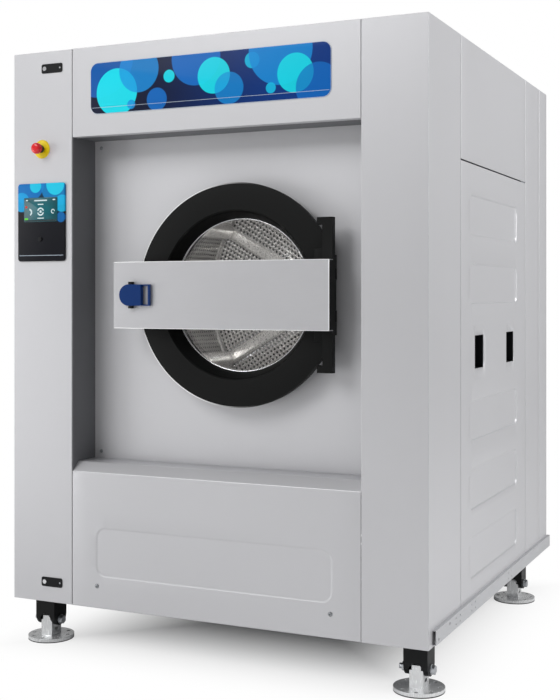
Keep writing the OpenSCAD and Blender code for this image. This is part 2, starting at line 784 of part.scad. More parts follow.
module at_springs(dx) for (s = [-1, 1], y = beam_ys)
    translate([door_x + s * dx, y, 0]) children();

module damper_cylinders() color("#26282B") at_springs(damper_x) difference() {
    rod_z(0, 0, 25, beam_z, beam_z + 130);
    rod_z(0, 0, 10.4, beam_z + 40, beam_z + 130 + past);
}

module suspension_springs() color("#55585D") at_springs(spring_x) difference() {
    rod_z(0, 0, spring_d / 2, beam_z, seat_z);
    rod_z(0, 0, spring_d / 2 - 16, beam_z - past, seat_z + past);
}

module door_gasket() color("#2E3033") {
    ya = rec_back;
    yb = tub_y0 - end_t;
    step = (yb - ya) / 4;
    ri = port_r + 2;
    turned_y(door_x, da_z, [[ri, ya], [ri + 24, ya], [ri + 24, ya + 4], [ri + 8, ya + step],
        [ri + 20, ya + 2 * step], [ri + 8, ya + 3 * step], [ri + 24, yb - 4], [ri + 24, yb],
        [ri + 14, yb], [ri + 2, ya + 3 * step], [ri + 14, ya + 2 * step], [ri + 2, ya + step]]);
}

nozzle_z = da_z - tub_r + tub_drop;

module drain_hose() color("#1E1F21") {
    za = drain_top;
    zb = drain_top + 100;
    translate([drain_x, drain_y, 0]) rotate_extrude($fn = 64) polygon(concat(
        [[drain_r - drain_t, za]],
        [for (i = [0:10]) [drain_r + (i % 2) * 5, za + i * (zb - za) / 10]],
        [[drain_r - drain_t, zb]]));
}

module tub_shell() color("#A4A7AC") {
    difference() {
        union() {
            rod_y(door_x, da_z, tub_r, tub_y0, tub_y1, $fn = 120);
            rod_z(drain_x, drain_y, drain_r, drain_top + 100, nozzle_z + 20);
            rod_z(drain_x, 0, 30, da_z + tub_r - tub_drop - 20, nozzle_top);
        }
        rod_y(door_x, da_z, tub_r - tub_t, tub_y0 - past, tub_y1 + past, $fn = 120);
        rod_z(drain_x, drain_y, drain_r - drain_t, drain_top + 99, nozzle_z + 60);
        rod_z(drain_x, 0, 26, da_z + tub_r - tub_drop - 60, nozzle_top + past);
    }
}

module tub_end_plates() color("#9A9DA2") {
    difference() {
        rod_y(door_x, da_z, tub_r + 7, tub_y0 - end_t, tub_y0, $fn = 120);
        rod_y(door_x, da_z, port_r + 14, tub_y0 - end_t - past, tub_y0 + past);
    }
    difference() {
        rod_y(door_x, da_z, tub_r + 7, tub_y1, tub_y1 + end_t, $fn = 120);
        rod_y(door_x, da_z, shaft_d / 2 + 4, tub_y1 - past, tub_y1 + end_t + past);
    }
}

module tub_cradle() color("#6F7378") {
    for (y = beam_ys) difference() {
        plate_y(y - 6, y + 6) polygon([[door_x - cradle_x, seat_z], [door_x + cradle_x, seat_z],
            [door_x + cradle_x, seat_z + 90], [door_x + cradle_x - 50, seat_z + cradle_h],
            [door_x - cradle_x + 50, seat_z + cradle_h], [door_x - cradle_x, seat_z + 90]]);
        rod_y(door_x, da_z, tub_r, y - 7, y + 7, $fn = 120);
    }
    for (s = [-1, 1], y = beam_ys, f = [-1, 1])
        box([door_x + s * foot_x - 120, f < 0 ? y - 76 : y + 6, seat_z],
            [door_x + s * foot_x + 120, f < 0 ? y - 6 : y + 76, seat_z + seat_t]);
    for (s = [-1, 1]) tube([door_x + s * (foot_x - 20) - beam_tube / 2, beam_ys[0] + 6, seat_z + seat_t],
        [door_x + s * (foot_x - 20) + beam_tube / 2, beam_ys[1] - 6, seat_z + seat_t + beam_tube], 1);
    motor_hanger();
}

// A shelf over the motor between two webs that reach back from the rear cradle plate
module motor_hanger() {
    half = motor_d / 2;
    shelf_z = motor_z + half + seat_t;
    box([motor_x - half - 1, motor_y0, shelf_z - seat_t], [motor_x + half + 1, motor_y1, shelf_z]);
    for (x = [motor_x - half - seat_t, motor_x + half]) plate_x(x, x + seat_t)
        polygon([[beam_ys[1], seat_z], [beam_ys[1], seat_z + 90], [motor_y0, seat_z + 90],
            [motor_y0, shelf_z], [motor_y1, shelf_z], [motor_y1, shelf_z - 40], [motor_y0 + 40, seat_z]]);
}

module bearing_housing() color("#7A7D80") {
    ya = tub_y1 + end_t;
    ri = bearing_d / 2;
    difference() {
        union() {
            turned_y(door_x, da_z, [[ri, ya], [housing_r, ya], [housing_r, ya + 16],
                [ri + 45, ya + 16], [ri + 40, housing_y1], [ri, housing_y1]]);
            for (i = [0:7]) translate([door_x, 0, da_z]) rotate([0, i * 45 + 22.5, 0])
                plate_x(-7, 7) polygon([[ya + 15, ri + 30], [ya + 15, housing_r - 10],
                    [ya + 40, housing_r - 10], [housing_y1 - 20, ri + 38], [housing_y1 - 20, ri + 30]]);
        }
        rod_y(door_x, da_z, ri, ya - past, housing_y1 + past);
    }
}

bearing_ys = [tub_y1 + end_t + 20, housing_y1 - 60];
bearing_w = 40;

module drum_bearings() color("#C9CBCE") for (y = bearing_ys)
    turned_y(door_x, da_z, [[shaft_d / 2, y], [shaft_d / 2 + 12, y], [shaft_d / 2 + 14, y + 3],
        [bearing_d / 2 - 14, y + 3], [bearing_d / 2 - 12, y], [bearing_d / 2 - run, y],
        [bearing_d / 2 - run, y + bearing_w], [shaft_d / 2, y + bearing_w]]);

motor_shaft_r = 19;

module motor_body() color("#3F5873") difference() {
    union() {
        rod_y(motor_x, motor_z, motor_d / 2 - 16, motor_y0, motor_y1);
        for (y = [motor_y0 + 20 : 20 : motor_y1 - 30])
            rod_y(motor_x, motor_z, motor_d / 2 - 6, y, y + 6);
        rod_y(motor_x, motor_z, motor_d / 2 - 4, motor_y1 - 20, motor_y1 - 6);
        box([motor_x - 90, motor_y0 + 30, motor_z], [motor_x + 90, motor_y1 - 40, motor_z + motor_d / 2]);
    }
    rod_y(motor_x, motor_z, motor_shaft_r + run, motor_y1 - 120, motor_y1 + past);
}

module damper_rods() color("#C7C9CC") at_springs(damper_x)
    rod_z(0, 0, 10, beam_z + 48 + bounce, seat_z);

// Points of a closed belt outline round both pulleys, lying e outside their rims
function belt_points(e) = let (
    ra = pulley_d / 2 + e,
    rb = motor_pulley_d / 2 + e,
    a = asin((ra - rb) / motor_drop),
    steps = 40,
    wide = (180 + 2 * a) / steps,
    narrow = (180 - 2 * a) / steps)
    concat([for (i = [0:steps]) [door_x, da_z] + ra / cos(wide / 2) * [cos(i * wide - a), sin(i * wide - a)]],
        [for (i = [0:steps]) [motor_x, motor_z]
            + rb / cos(narrow / 2) * [cos(180 + a + i * narrow), sin(180 + a + i * narrow)]]);

module drive_belts() color("#141517") for (i = [0:belts - 1])
    plate_y(belt_y + 5 + i * belt_pitch, belt_y + 5 + i * belt_pitch + belt_w) difference() {
        polygon(belt_points(0.3 + belt_t));
        polygon(belt_points(0.3));
    }

module drum_shell() color("#C3C5C8") difference() {
    rod_y(door_x, da_z, drum_r + drum_t, drum_y0, drum_y1, $fn = 120);
    rod_y(door_x, da_z, drum_r, drum_y0 - past, drum_y1 + past, $fn = 120);
}

module drum_ends() color("#CBCDD0") {
    turned_y(door_x, da_z, [[mouth_r, drum_y0 - drum_t - 8], [mouth_r + drum_t, drum_y0 - drum_t - 8],
        [mouth_r + drum_t, drum_y0 - drum_t], [drum_r + drum_t, drum_y0 - drum_t],
        [drum_r + drum_t, drum_y0], [mouth_r, drum_y0]]);
    rod_y(door_x, da_z, drum_r + drum_t, drum_y1, drum_y1 + drum_t, $fn = 120);
    for (i = [0:lifters - 1]) translate([door_x, 0, da_z]) rotate([0, 30 + i * 360 / lifters, 0])
        plate_x(-lifter_w / 2, lifter_w / 2) polygon([[drum_y1 + 1, 60],
            [drum_y1 + 1, drum_r - lifter_h - 6], [drum_y1, drum_r - lifter_h - 6],
            [drum_y1 - 8, drum_r - lifter_h - 12], [drum_y1 - 8, 60]]);
    rod_y(door_x, da_z, 80, drum_y1 - 10, drum_y1 + 1);
}

module drum_lifters() color("#D2D4D7") intersection() {
    rod_y(door_x, da_z, drum_r, drum_y0 + 4, drum_y1 - 12, $fn = 120);
    union() for (i = [0:lifters - 1]) translate([door_x, 0, da_z])
        rotate([0, 30 + i * 360 / lifters, 0]) plate_y(drum_y0 + 4, drum_y1 - 12)
            polygon([[-lifter_w / 2, drum_r + 5], [lifter_w / 2, drum_r + 5], [lifter_w / 2, drum_r - 6],
                [lifter_w / 4, drum_r - lifter_h], [-lifter_w / 4, drum_r - lifter_h],
                [-lifter_w / 2, drum_r - 6]]);
}

module drum_shaft() color("#A2A5A9") {
    ya = drum_y1 + drum_t;
    rod_y(door_x, da_z, shaft_d / 2 - run, ya + spider_t - 1, belt_y + pulley_w + 6);
    rod_y(door_x, da_z, 110, ya, ya + spider_t);
    plate_y(ya, ya + spider_t) for (i = [0:2]) translate([door_x, da_z]) rotate(90 + i * 120)
        polygon([[60, -70], [drum_r - 20, -30], [drum_r - 20, 30], [60, 70]]);
}

module drum_pulley() color("#4A4D52") difference() {
    union() {
        difference() {
            rod_y(door_x, da_z, pulley_d / 2, belt_y, belt_y + pulley_w, $fn = 120);
            rod_y(door_x, da_z, pulley_d / 2 - 24, belt_y - past, belt_y + pulley_w + past, $fn = 120);
        }
        rod_y(door_x, da_z, shaft_d / 2 + 28, belt_y - 6, belt_y + pulley_w);
        for (i = [0:4]) translate([door_x, 0, da_z]) rotate([0, i * 72, 0])
            box([-22, belt_y + 20, shaft_d / 2 + 20], [22, belt_y + 44, pulley_d / 2 - 20]);
    }
    rod_y(door_x, da_z, shaft_d / 2 - run, belt_y - 10, belt_y + pulley_w + past);
}

module motor_pulley() color("#54575C") {
    rod_y(motor_x, motor_z, motor_shaft_r, motor_y1 - 110, belt_y + 1);
    rod_y(motor_x, motor_z, motor_pulley_d / 2, belt_y, belt_y + pulley_w);
}

pocket_r = window_d / 2 + 27;

module door_ring() color("#1E1F21") {
    ro = ring_od / 2;
    body_r = ring_body_d / 2;
    flange_y = ring_back - 9;
    difference() {
        union() {
            intersection() {
                turned_y(door_x, da_z, [[ring_id / 2, ring_y], [ro - 3, ring_y], [ro, ring_y + 3],
                    [ro, ring_y + ring_t], [body_r, ring_y + ring_t], [body_r, ring_back - 3],
                    [body_r - 3, ring_back], [pocket_r, ring_back],
                    [pocket_r, flange_y], [window_d / 2, flange_y], [window_d / 2, flange_y - 3],
                    [ring_id / 2 - 6, ring_y + 14], [ring_id / 2, ring_y + 3]]);
                box([door_x - ro - 5, ring_y - 5, da_z - ro - 5], [hinge_x0, ring_back + 5, da_z + ro + 5]);
            }
            box([hinge_x0 - 44, ring_y - 5, da_z - 137], [hinge_x0, ring_back - 12, da_z + 137]);
        }
        rod_y(door_x, da_z, ring_id / 2, ring_y - 10, ring_y + 3);
        rod_y(door_x, da_z, ring_id / 2 + 6, ring_y - 10, ring_y - 0.01);
    }
    for (s = [-1, 1], t = [-1, 1])
        rod_y(door_x + s * 278, da_z + t * 70, 10, bar_y + bar_sheet, ring_y + past);
}

// Profile of the bowl's outer or inner face, shrunk by e
function bowl_curve(e) = [for (a = [0:10:90])
    [150 + (window_d / 2 - 3 - 150 - e) * cos(a), ring_back - 3 + (bowl_d - 3 - e) * sin(a)]];

module door_glass() color("#AEB6BC", 0.4) turned_y(door_x, da_z, concat(
    [[0, ring_back - 3 + bowl_d - 3], [0, ring_back - 3 + bowl_d - 3 - glass_t]],
    [for (i = [9:-1:0]) bowl_curve(glass_t)[i]], [[window_d / 2 - 3 - glass_t, ring_back - 9],
    [pocket_r - 4, ring_back - 9], [pocket_r - 4, ring_back - 3]], bowl_curve(0)));

module glass_clamp_ring() color("#B7B9BC") turned_y(door_x, da_z,
    [[window_d / 2 + 3, ring_back - 3], [pocket_r - 0.3, ring_back - 3], [pocket_r - 0.3, ring_back],
    [window_d / 2 + 3, ring_back]]);

bar_x1 = door_x + bar_r;

module door_crossbar() color("#C9CACC") difference() {
    window_x = hx + handle_h / 2;
    window_r = handle_h / 2 + 4;
    box([bar_x0, bar_y, da_z - bar_h / 2], [bar_x1, bar_back, da_z + bar_h / 2]);
    box([bar_x0 + bar_sheet, bar_y + bar_sheet, da_z - bar_h / 2 + bar_sheet],
        [bar_x1 + past, bar_back + past, da_z + bar_h / 2 - bar_sheet]);
    plate_y(bar_y - past, bar_y + bar_sheet + past) {
        intersection() {
            translate([window_x, da_z]) circle(window_r);
            translate([window_x - window_r, da_z - window_r]) square([window_r + 2, 2 * window_r]);
        }
        translate([piv_x - 4, da_z - 30]) square([34, 60]);
    }
}

module door_hinge_bar() color("#1A1B1C") {
    hook_l = 17;
    hook_h = 22;
    lug_r = pin_back - 2;
    ya = bar_back;
    yb = bar_back + hinge_d;
    seat_h = bar_h / 2 - bar_sheet;
    box([hinge_x0, ya, hinge_bottom], [hinge_x1, yb, hinge_top]);
    box([hinge_x0, bar_y + bar_sheet, da_z - seat_h], [hinge_x1, ya + 1, da_z + seat_h]);
    for (z = [hinge_bottom, hinge_top - hook_h])
        box([hinge_x0 - hook_l, ya, z], [hinge_x0 + 1, yb, z + hook_h]);
    for (z = lug_zs) difference() {
        union() {
            box([pin_x - lug_r, yb - 1, z], [pin_x + lug_r, pin_y, z + lug_h]);
            rod_z(pin_x, pin_y, lug_r, z, z + lug_h);
        }
        rod_z(pin_x, pin_y, pin_d / 2 + run, z - past, z + lug_h + past);
    }
}

ear_h = 8;

module handle_mounts() color("#151617") {
    for (s = [-1, 1]) {
        z = da_z + s * (handle_h / 2 + 0.4 + ear_h / 2);
        box([piv_x - 3, piv_y - 6, z - ear_h / 2], [piv_x + 8, bar_y, z + ear_h / 2]);
        rod_z(piv_x, piv_y, 6, z - ear_h / 2, z + ear_h / 2);
    }
    rod_z(piv_x, piv_y, handle_pin_d / 2, da_z - handle_h / 2 - 2, da_z + handle_h / 2 + 2);
    difference() {
        box([piv_x + 34, bar_back, da_z - bolt_h / 2 - 8],
            [piv_x + 58, ring_y, da_z + bolt_h / 2 + 8]);
        box([piv_x + 33, bolt_y - bolt_t / 2 - 0.3, da_z - bolt_h / 2 - 0.3],
            [piv_x + 59, bolt_y + bolt_t / 2 + 0.3, da_z + bolt_h / 2 + 0.3]);
    }
}

module door_handle() color("#0B3A86") difference() {
    union() {
        plate_y(bar_y - handle_gap - handle_t, bar_y - handle_gap) {
            translate([hx + handle_h / 2, da_z]) circle(handle_h / 2);
            translate([hx + handle_h / 2, da_z - handle_h / 2])
                square([handle_solid - handle_h / 2, handle_h]);
        }
        plate_y(bar_y - handle_gap - 9, bar_y - handle_gap - 2) difference() {
            translate([hx + handle_solid - 1, da_z - handle_h / 2])
                square([handle_l - handle_solid + 1, handle_h]);
            translate([hx + handle_solid + 1, da_z - handle_h / 2 + 4])
                square([handle_l - handle_solid - 8, handle_h - 8]);
        }
        box([piv_x - 6, bar_y - handle_gap - 1, da_z - 7], [piv_x + 6, bolt_y - 8, da_z + 7]);
        box([piv_x - tail_r + 1, bolt_y - 9, da_z - 7], [piv_x + tail_r - 1, bolt_y, da_z + 7]);
        rod_z(piv_x, bolt_y, tail_r, da_z - 7, da_z + 7);
    }
    rod_z(piv_x, piv_y, handle_pin_d / 2 + run, da_z - handle_h, da_z + handle_h);
}

module latch_bolt() color("#B5B7BA") difference() {
    box([bolt_x0, bolt_y - bolt_t / 2, da_z - bolt_h / 2],
        [piv_x + 62, bolt_y + bolt_t / 2, da_z + bolt_h / 2]);
    box([piv_x - tail_r - 1, bolt_y - bolt_t, da_z - 8],
        [piv_x + tail_r + 1, bolt_y + bolt_t, da_z + 8]);
}

module control_door_panel() color("#C7C8CB") {
    xb = open_l - sheet_t - seam;
    difference() {
        front_tray(x0, xb, z0 + 1, z1 - 1, ctrl_d);
        for (z = hinge_zs)
            box([x0 - past, y0 + sheet_t, z - 18], [x0 + sheet_t + past, y0 + ctrl_d + past, z + 18]);
        rod_y(stop_x, stop_z, 15.5, y0 - past, y0 + sheet_t + past);
        for (z = lock_zs) rod_y(lock_x, z, lock_d / 2 + run, y0 - past, y0 + sheet_t + past);
    }
    for (z = hinge_zs, s = [-1, 1]) {
        za = s > 0 ? z + 14.5 : z - 40;
        difference() {
            union() {
                rod_z(pv_x, pv_y, knuckle_r, za, za + 25.5);
                box([pv_x, y0 + sheet_t, za], [pv_x + 14, pv_y + 2, za + 25.5]);
            }
            rod_z(pv_x, pv_y, door_pin_d / 2 + run, za - past, za + 27);
        }
    }
}

module control_panel() color("#15161C") {
    xa = x0 + panel_in;
    za = z0 + panel_up;
    plate_y(y0 - panel_t, y0) round_rect(xa, za, xa + panel_w, za + panel_h, 10);
    rod_y(x0 + 108, za + 71, 7, y0 - panel_t - 4, y0 - panel_t);
}

module touch_screen() color("#0E5A63") plate_y(y0 - panel_t - 1, y0 - panel_t)
    round_rect(screen_x, screen_z, screen_x + screen_w, screen_z + screen_h, 3);

module estop_collar() color("#F2D600") difference() {
    union() {
        turned_y(stop_x, stop_z, [[0, y0 - 3], [stop_collar_d / 2 - 2, y0 - 3], [stop_collar_d / 2, y0 - 1],
            [stop_collar_d / 2, y0], [15, y0], [15, y0 + ctrl_d - 1], [0, y0 + ctrl_d - 1]], 64);
        box([stop_x - 16, y0 + ctrl_d - 2, stop_z - 16], [stop_x + 16, front_y + 16, stop_z + 16]);
    }
    rod_y(stop_x, stop_z, 11 + run, y0 - 5, front_y + 2 + stop_travel);
}

module lock_plates() color("#121314") for (z = lock_zs) difference() {
    plate_y(y0 - 2, y0)
        round_rect(lock_plate_x, z - lock_h / 2, lock_plate_x + lock_w, z + lock_h / 2, 6);
    rod_y(lock_x, z, lock_d / 2 + run, y0 - 3, y0 + 1);
}

module estop_plunger() color("#2C2D30") {
    rod_y(stop_x, stop_z, 11, y0 - stop_out + 26, front_y - 1);
    rod_y(stop_x, stop_z, 13.5, y0 - stop_out + 26, y0 - 4 - stop_travel);
    rod_y(stop_x, stop_z, 6, y0 - stop_out + 12, y0 - stop_out + 27);
}

module estop_head() color("#D8141C") difference() {
    r = stop_head_d / 2;
    ya = y0 - stop_out;
    turned_y(stop_x, stop_z, [[0, ya], [r * 0.6, ya + 1], [r * 0.85, ya + 4], [r, ya + 10],
        [r, ya + 16], [r - 3, ya + 20], [r - 6, ya + 25.7], [0, ya + 25.7]], 64);
    rod_y(stop_x, stop_z, 6 + run, ya + 11.7, ya + 27);
}

// A lock cylinder with its cam pointing up (1) or down (-1)
module cam_lock(z, up) {
    rod_y(lock_x, z, lock_d / 2, y0 - 4, cam_y1 - cam_t + 0.5);
    plate_y(cam_y1 - cam_t, cam_y1) {
        translate([lock_x, z]) circle(7);
        translate([lock_x - 7, up > 0 ? z : z - cam_l]) square([14, cam_l]);
    }
}

module upper_lock() color("#E4E5E7") cam_lock(lock_zs[0], -1);

module lower_lock() color("#E4E5E7") cam_lock(lock_zs[1], 1);

base_frame();
trim_rails();
leg_brackets();
foot_stands();
foot_pads();
leg_bolts();
header_panel();
header_graphic();
column_covers();
lower_front_panel();
cover_screws();
recess_surround();
recess_panel();
side_panels();
side_vent_cups();
top_panel();
rear_panels();
control_door_hinges();
door_hinge_brackets();
lock_striker();
water_inlet_valves();
drain_valve_body();
drain_valve_disc();
cable_gland();
electrical_units();
damper_cylinders();
suspension_springs();
door_gasket();
drain_hose();
tub_shell();
tub_end_plates();
tub_cradle();
bearing_housing();
drum_bearings();
motor_body();
damper_rods();
drive_belts();
drum_shell();
drum_ends();
drum_lifters();
drum_shaft();
drum_pulley();
motor_pulley();
door_ring();
door_glass();
glass_clamp_ring();
door_crossbar();
door_hinge_bar();
handle_mounts();
door_handle();
latch_bolt();
control_door_panel();
control_panel();
touch_screen();
estop_collar();
lock_plates();
estop_plunger();
estop_head();
upper_lock();
lower_lock();
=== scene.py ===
"""Looks of a commercial washing machine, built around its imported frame.

Units are metres in the frame's own axes: +X right, +Y back, +Z up. Sizes that a
maker would state in millimetres are written as such and multiplied by MM.
"""

import logging
import math
from dataclasses import dataclass
from enum import Enum

import bmesh
import bpy
import numpy as np
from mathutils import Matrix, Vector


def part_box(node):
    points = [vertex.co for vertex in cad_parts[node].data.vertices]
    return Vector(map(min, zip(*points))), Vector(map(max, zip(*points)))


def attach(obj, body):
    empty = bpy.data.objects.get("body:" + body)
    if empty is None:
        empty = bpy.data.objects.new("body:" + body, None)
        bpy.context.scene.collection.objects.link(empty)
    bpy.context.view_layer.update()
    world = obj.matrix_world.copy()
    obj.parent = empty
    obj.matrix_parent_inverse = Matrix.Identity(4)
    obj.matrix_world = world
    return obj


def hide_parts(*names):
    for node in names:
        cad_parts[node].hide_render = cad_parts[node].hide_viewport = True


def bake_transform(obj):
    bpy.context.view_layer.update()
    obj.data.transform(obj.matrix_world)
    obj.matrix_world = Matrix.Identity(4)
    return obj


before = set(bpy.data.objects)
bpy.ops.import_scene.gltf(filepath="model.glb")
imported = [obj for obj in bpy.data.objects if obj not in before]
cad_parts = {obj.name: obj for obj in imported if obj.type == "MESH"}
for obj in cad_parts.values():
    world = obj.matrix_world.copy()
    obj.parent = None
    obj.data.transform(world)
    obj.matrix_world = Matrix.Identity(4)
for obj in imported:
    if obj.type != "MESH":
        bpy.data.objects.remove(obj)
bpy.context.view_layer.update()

MM = 0.001
# Points nearer than this are one point
WELD = 1e-5
# The same for the CAD nodes' own meshes, whose points are rounded
CAD_WELD = 2e-5
# Edges sharper than this stay sharp, where a piece says nothing else
SMOOTH_DEG = 32.0
# Ends between which the fine and the slow noise mostly lie
FINE_NOISE = (0.25, 0.75)
SLOW_NOISE = (0.3, 0.7)
# Points, and faces as lists of point numbers
Shape = tuple[np.ndarray, list]
LOG = logging.getLogger("washer")


def linear(colour: str) -> tuple[float, float, float, float]:
    """Turns an sRGB hex colour to linear light.

    Args:
        colour: "#RRGGBB".

    Returns:
        Red, green, blue and alpha 1, as a shader takes them.
    """
    parts = [int(colour[i : i + 2], 16) / 255 for i in (1, 3, 5)]
    light = [c / 12.92 if c <= 0.04045 else ((c + 0.055) / 1.055) ** 2.4 for c in parts]
    return light[0], light[1], light[2], 1.0


def add_node(
    tree: bpy.types.NodeTree, kind: str, sockets: dict | None = None, **settings: object
) -> bpy.types.Node:
    """Adds one node with its settings and links.

    Args:
        tree: The tree that gets the node.
        kind: The node's type name.
        sockets: Input name or number to a value, or to the output that feeds it.
        settings: Properties of the node itself.

    Returns:
        The new node.
    """
    made = tree.nodes.new(kind)
    for name, value in settings.items():
        setattr(made, name, value)
    for name, value in (sockets or {}).items():
        if isinstance(value, bpy.types.NodeSocket):
            tree.links.new(value, made.inputs[name])
        else:
            made.inputs[name].default_value = value
    return made


def map_range(
    tree: bpy.types.NodeTree,
    value: bpy.types.NodeSocket,
    source: tuple[float, float],
    target: tuple[float, float],
    **settings: object,
) -> bpy.types.NodeSocket:
    """Adds a node that maps one range of a value to another and stops at its ends.

    Args:
        tree: The tree that gets the node.
        value: The output to map.
        source: The value's two ends.
        target: What they become.
        settings: Properties of the node itself.

    Returns:
        The node's output.
    """
    ends = {"From Min": source[0], "From Max": source[1], "To Min": target[0], "To Max": target[1]}
    return add_node(tree, "ShaderNodeMapRange", {"Value": value, **ends}, **settings).outputs[0]


class Run(Enum):
    """Way in which a finish's fine marks run: the pattern's scale along x, y and z."""

    EVEN = (1.0, 1.0, 1.0)
    ALONG_X = (0.02, 1.0, 1.0)
    ALONG_Y = (1.0, 0.02, 1.0)
    ALONG_Z = (1.0, 1.0, 0.02)


@dataclass(frozen=True)
class Finish:
    """A surface finish: a base colour with fine marks and a slow change of tone.

    The tone is 1 + spread of the fine noise + spread of the slow noise, and it
    multiplies the colour. The fine noise also drives roughness and relief.
    """

    name: str
    colour: str
    metallic: float = 0.0
    roughness: float = 0.5
    rough_spread: float = 0.06
    tone_spread: float = 0.03
    mark_mm: float = 1.5
    run: Run = Run.EVEN
    relief_mm: float = 0.02
    cloud_mm: float = 300.0
    cloud_spread: float = 0.02
    coat: float = 0.0
    coat_roughness: float = 0.05
    ior: float = 1.5
    sheen: float = 0.0
    specular: float = 0.5

    def shader(self, tree: bpy.types.NodeTree) -> bpy.types.Node:
        """Adds the surface shader with its constants.

        Args:
            tree: The material's tree.

        Returns:
            The shader node, with colour, roughness and normal fed by the marks.
        """
        place = add_node(tree, "ShaderNodeTexCoord").outputs["Object"]
        drawn = add_node(tree, "ShaderNodeMapping", {"Vector": place, "Scale": self.run.value})
        fine = add_node(
            tree,
            "ShaderNodeTexNoise",
            {"Vector": drawn.outputs[0], "Scale": 1 / (self.mark_mm * MM), "Detail": 2.0},
        ).outputs["Fac"]
        slow = add_node(
            tree, "ShaderNodeTexNoise", {"Vector": place, "Scale": 1 / (self.cloud_mm * MM), "Detail": 1.0}
        ).outputs["Fac"]
        fine_tone = map_range(tree, fine, FINE_NOISE, (-self.tone_spread, self.tone_spread))
        slow_tone = map_range(tree, slow, SLOW_NOISE, (1 - self.cloud_spread, 1 + self.cloud_spread))
        tone = add_node(tree, "ShaderNodeMath", {0: fine_tone, 1: slow_tone}, operation="ADD").outputs[0]
        paint = add_node(tree, "ShaderNodeHueSaturation", {"Value": tone, "Color": self.base(tree, place)})
        smooth = max(self.roughness - self.rough_spread, 0.02)
        rough = map_range(tree, fine, FINE_NOISE, (smooth, min(self.roughness + self.rough_spread, 1.0)))
        relief = add_node(
            tree, "ShaderNodeBump", {"Height": fine, "Distance": self.relief_mm * MM, "Strength": 0.6}
        )
        return add_node(
            tree,
            "ShaderNodeBsdfPrincipled",
            {
                "Base Color": paint.outputs[0],
                "Roughness": rough,
                "Normal": relief.outputs[0],
                "Metallic": self.metallic,
                "IOR": self.ior,
                "Coat Weight": self.coat,
                "Coat Roughness": self.coat_roughness,
                "Sheen Weight": self.sheen,
                "Specular IOR Level": self.specular,
            },
        )

    def base(self, tree: bpy.types.NodeTree, place: bpy.types.NodeSocket) -> object:
        """Returns the colour before marks and tone."""
        return linear(self.colour)

    def material(self) -> bpy.types.Material:
        """Makes the material of this finish, once.

        Returns:
            The material, which later pieces share.
        """
        found = bpy.data.materials.get(self.name)
        if found is not None:
            return found
        made = bpy.data.materials.new(self.name)
        made.use_nodes = True
        tree = made.node_tree
        tree.nodes.clear()
        add_node(tree, "ShaderNodeOutputMaterial", {"Surface": self.shader(tree).outputs[0]})
        return made


@dataclass(frozen=True)
class Disc:
    """A round spot of a print: its centre and radius as shares of the print's height, and its colour."""

    x: float
    z: float
    radius: float
    colour: str
    cover: float


@dataclass(frozen=True)
class BubblePrint(Finish):
    """A printed film: a dark ground that pales to one side, with overlapping round bubbles; the ring's edge
    line also uses it, without bubbles, as a painted highlight.
    """

    centre: tuple[float, float] = (0.0, 0.0)
    height: float = 0.16
    far_colour: str = "#0E72CC"
    reach: tuple[float, float] = (-1.0, 1.0)
    soft: float = 0.006
    discs: tuple[Disc, ...] = ()

    def base(self, tree: bpy.types.NodeTree, place: bpy.types.NodeSocket) -> object:
        """Adds the print.

        Args:
            tree: The material's tree.
            place: The Object coordinates.

        Returns:
            The colour: the ground by x, then each disc where the distance to its
            centre in x and z is under its radius, mixed in by its cover.
        """
        shift = add_node(
            tree,
            "ShaderNodeMapping",
            {
                "Vector": place,
                "Location": (-self.centre[0] / self.height, 0, -self.centre[1] / self.height),
                "Scale": (1 / self.height, 0, 1 / self.height),
            },
        ).outputs[0]
        side = add_node(tree, "ShaderNodeSeparateXYZ", {0: shift})
        share = map_range(tree, side.outputs[0], self.reach, (0.0, 1.0), interpolation_type="SMOOTHSTEP")
        colour = add_node(
            tree,
            "ShaderNodeMix",
            {"Factor": share, "A": linear(self.colour), "B": linear(self.far_colour)},
            data_type="RGBA",
        )
        mixed = colour.outputs["Result"]
        for disc in self.discs:
            gap = add_node(
                tree, "ShaderNodeVectorMath", {0: shift, 1: (disc.x, 0, disc.z)}, operation="DISTANCE"
            ).outputs["Value"]
            edge = (disc.radius - self.soft, disc.radius + self.soft)
            inside = map_range(tree, gap, edge, (disc.cover, 0.0))
            over = add_node(
                tree,
                "ShaderNodeMix",
                {"Factor": inside, "A": mixed, "B": linear(disc.colour)},
                data_type="RGBA",
            )
            mixed = over.outputs["Result"]
        return mixed


@dataclass(frozen=True)
class ClearGlass(Finish):
    """Toughened clear glass."""

    cover: float = 0.15

    def shader(self, tree: bpy.types.NodeTree) -> bpy.types.Node:
        """Adds thin clear glass.

        Args:
            tree: The material's tree.

        Returns:
            The shader node: glass that is partly seen through straight, and open to
            the lamps' light.
        """
        glass = add_node(
            tree,
            "ShaderNodeBsdfPrincipled",
            {
                "Base Color": linear(self.colour),
                "Roughness": self.roughness,
                "IOR": self.ior,
                "Transmission Weight": 1.0,
                "Alpha": self.cover,
            },
        )
        clear = add_node(tree, "ShaderNodeBsdfTransparent", {"Color": (1, 1, 1, 1)})
        lamp_ray = add_node(tree, "ShaderNodeLightPath").outputs["Is Shadow Ray"]
        return add_node(tree, "ShaderNodeMixShader", {0: lamp_ray, 1: glass.outputs[0], 2: clear.outputs[0]})


# Satin metallic powder coat on folded steel: a soft, even silver with a very fine sparkle
PANEL_SILVER = Finish(
    "satin_silver_powder_coat", "#C9C9CC", metallic=0.35, roughness=0.40, tone_spread=0.012, mark_mm=1.2,
    relief_mm=0.008, cloud_mm=700.0, cloud_spread=0.015,
)
# The same coat on the recess's back sheet, painted a little lighter to lift it out of the recess's shade
RECESS_SILVER = Finish(
    "satin_silver_recess_coat", "#D0D0D3", metallic=0.35, roughness=0.44, tone_spread=0.012, mark_mm=1.2,
    relief_mm=0.008, cloud_mm=700.0, cloud_spread=0.015,
)
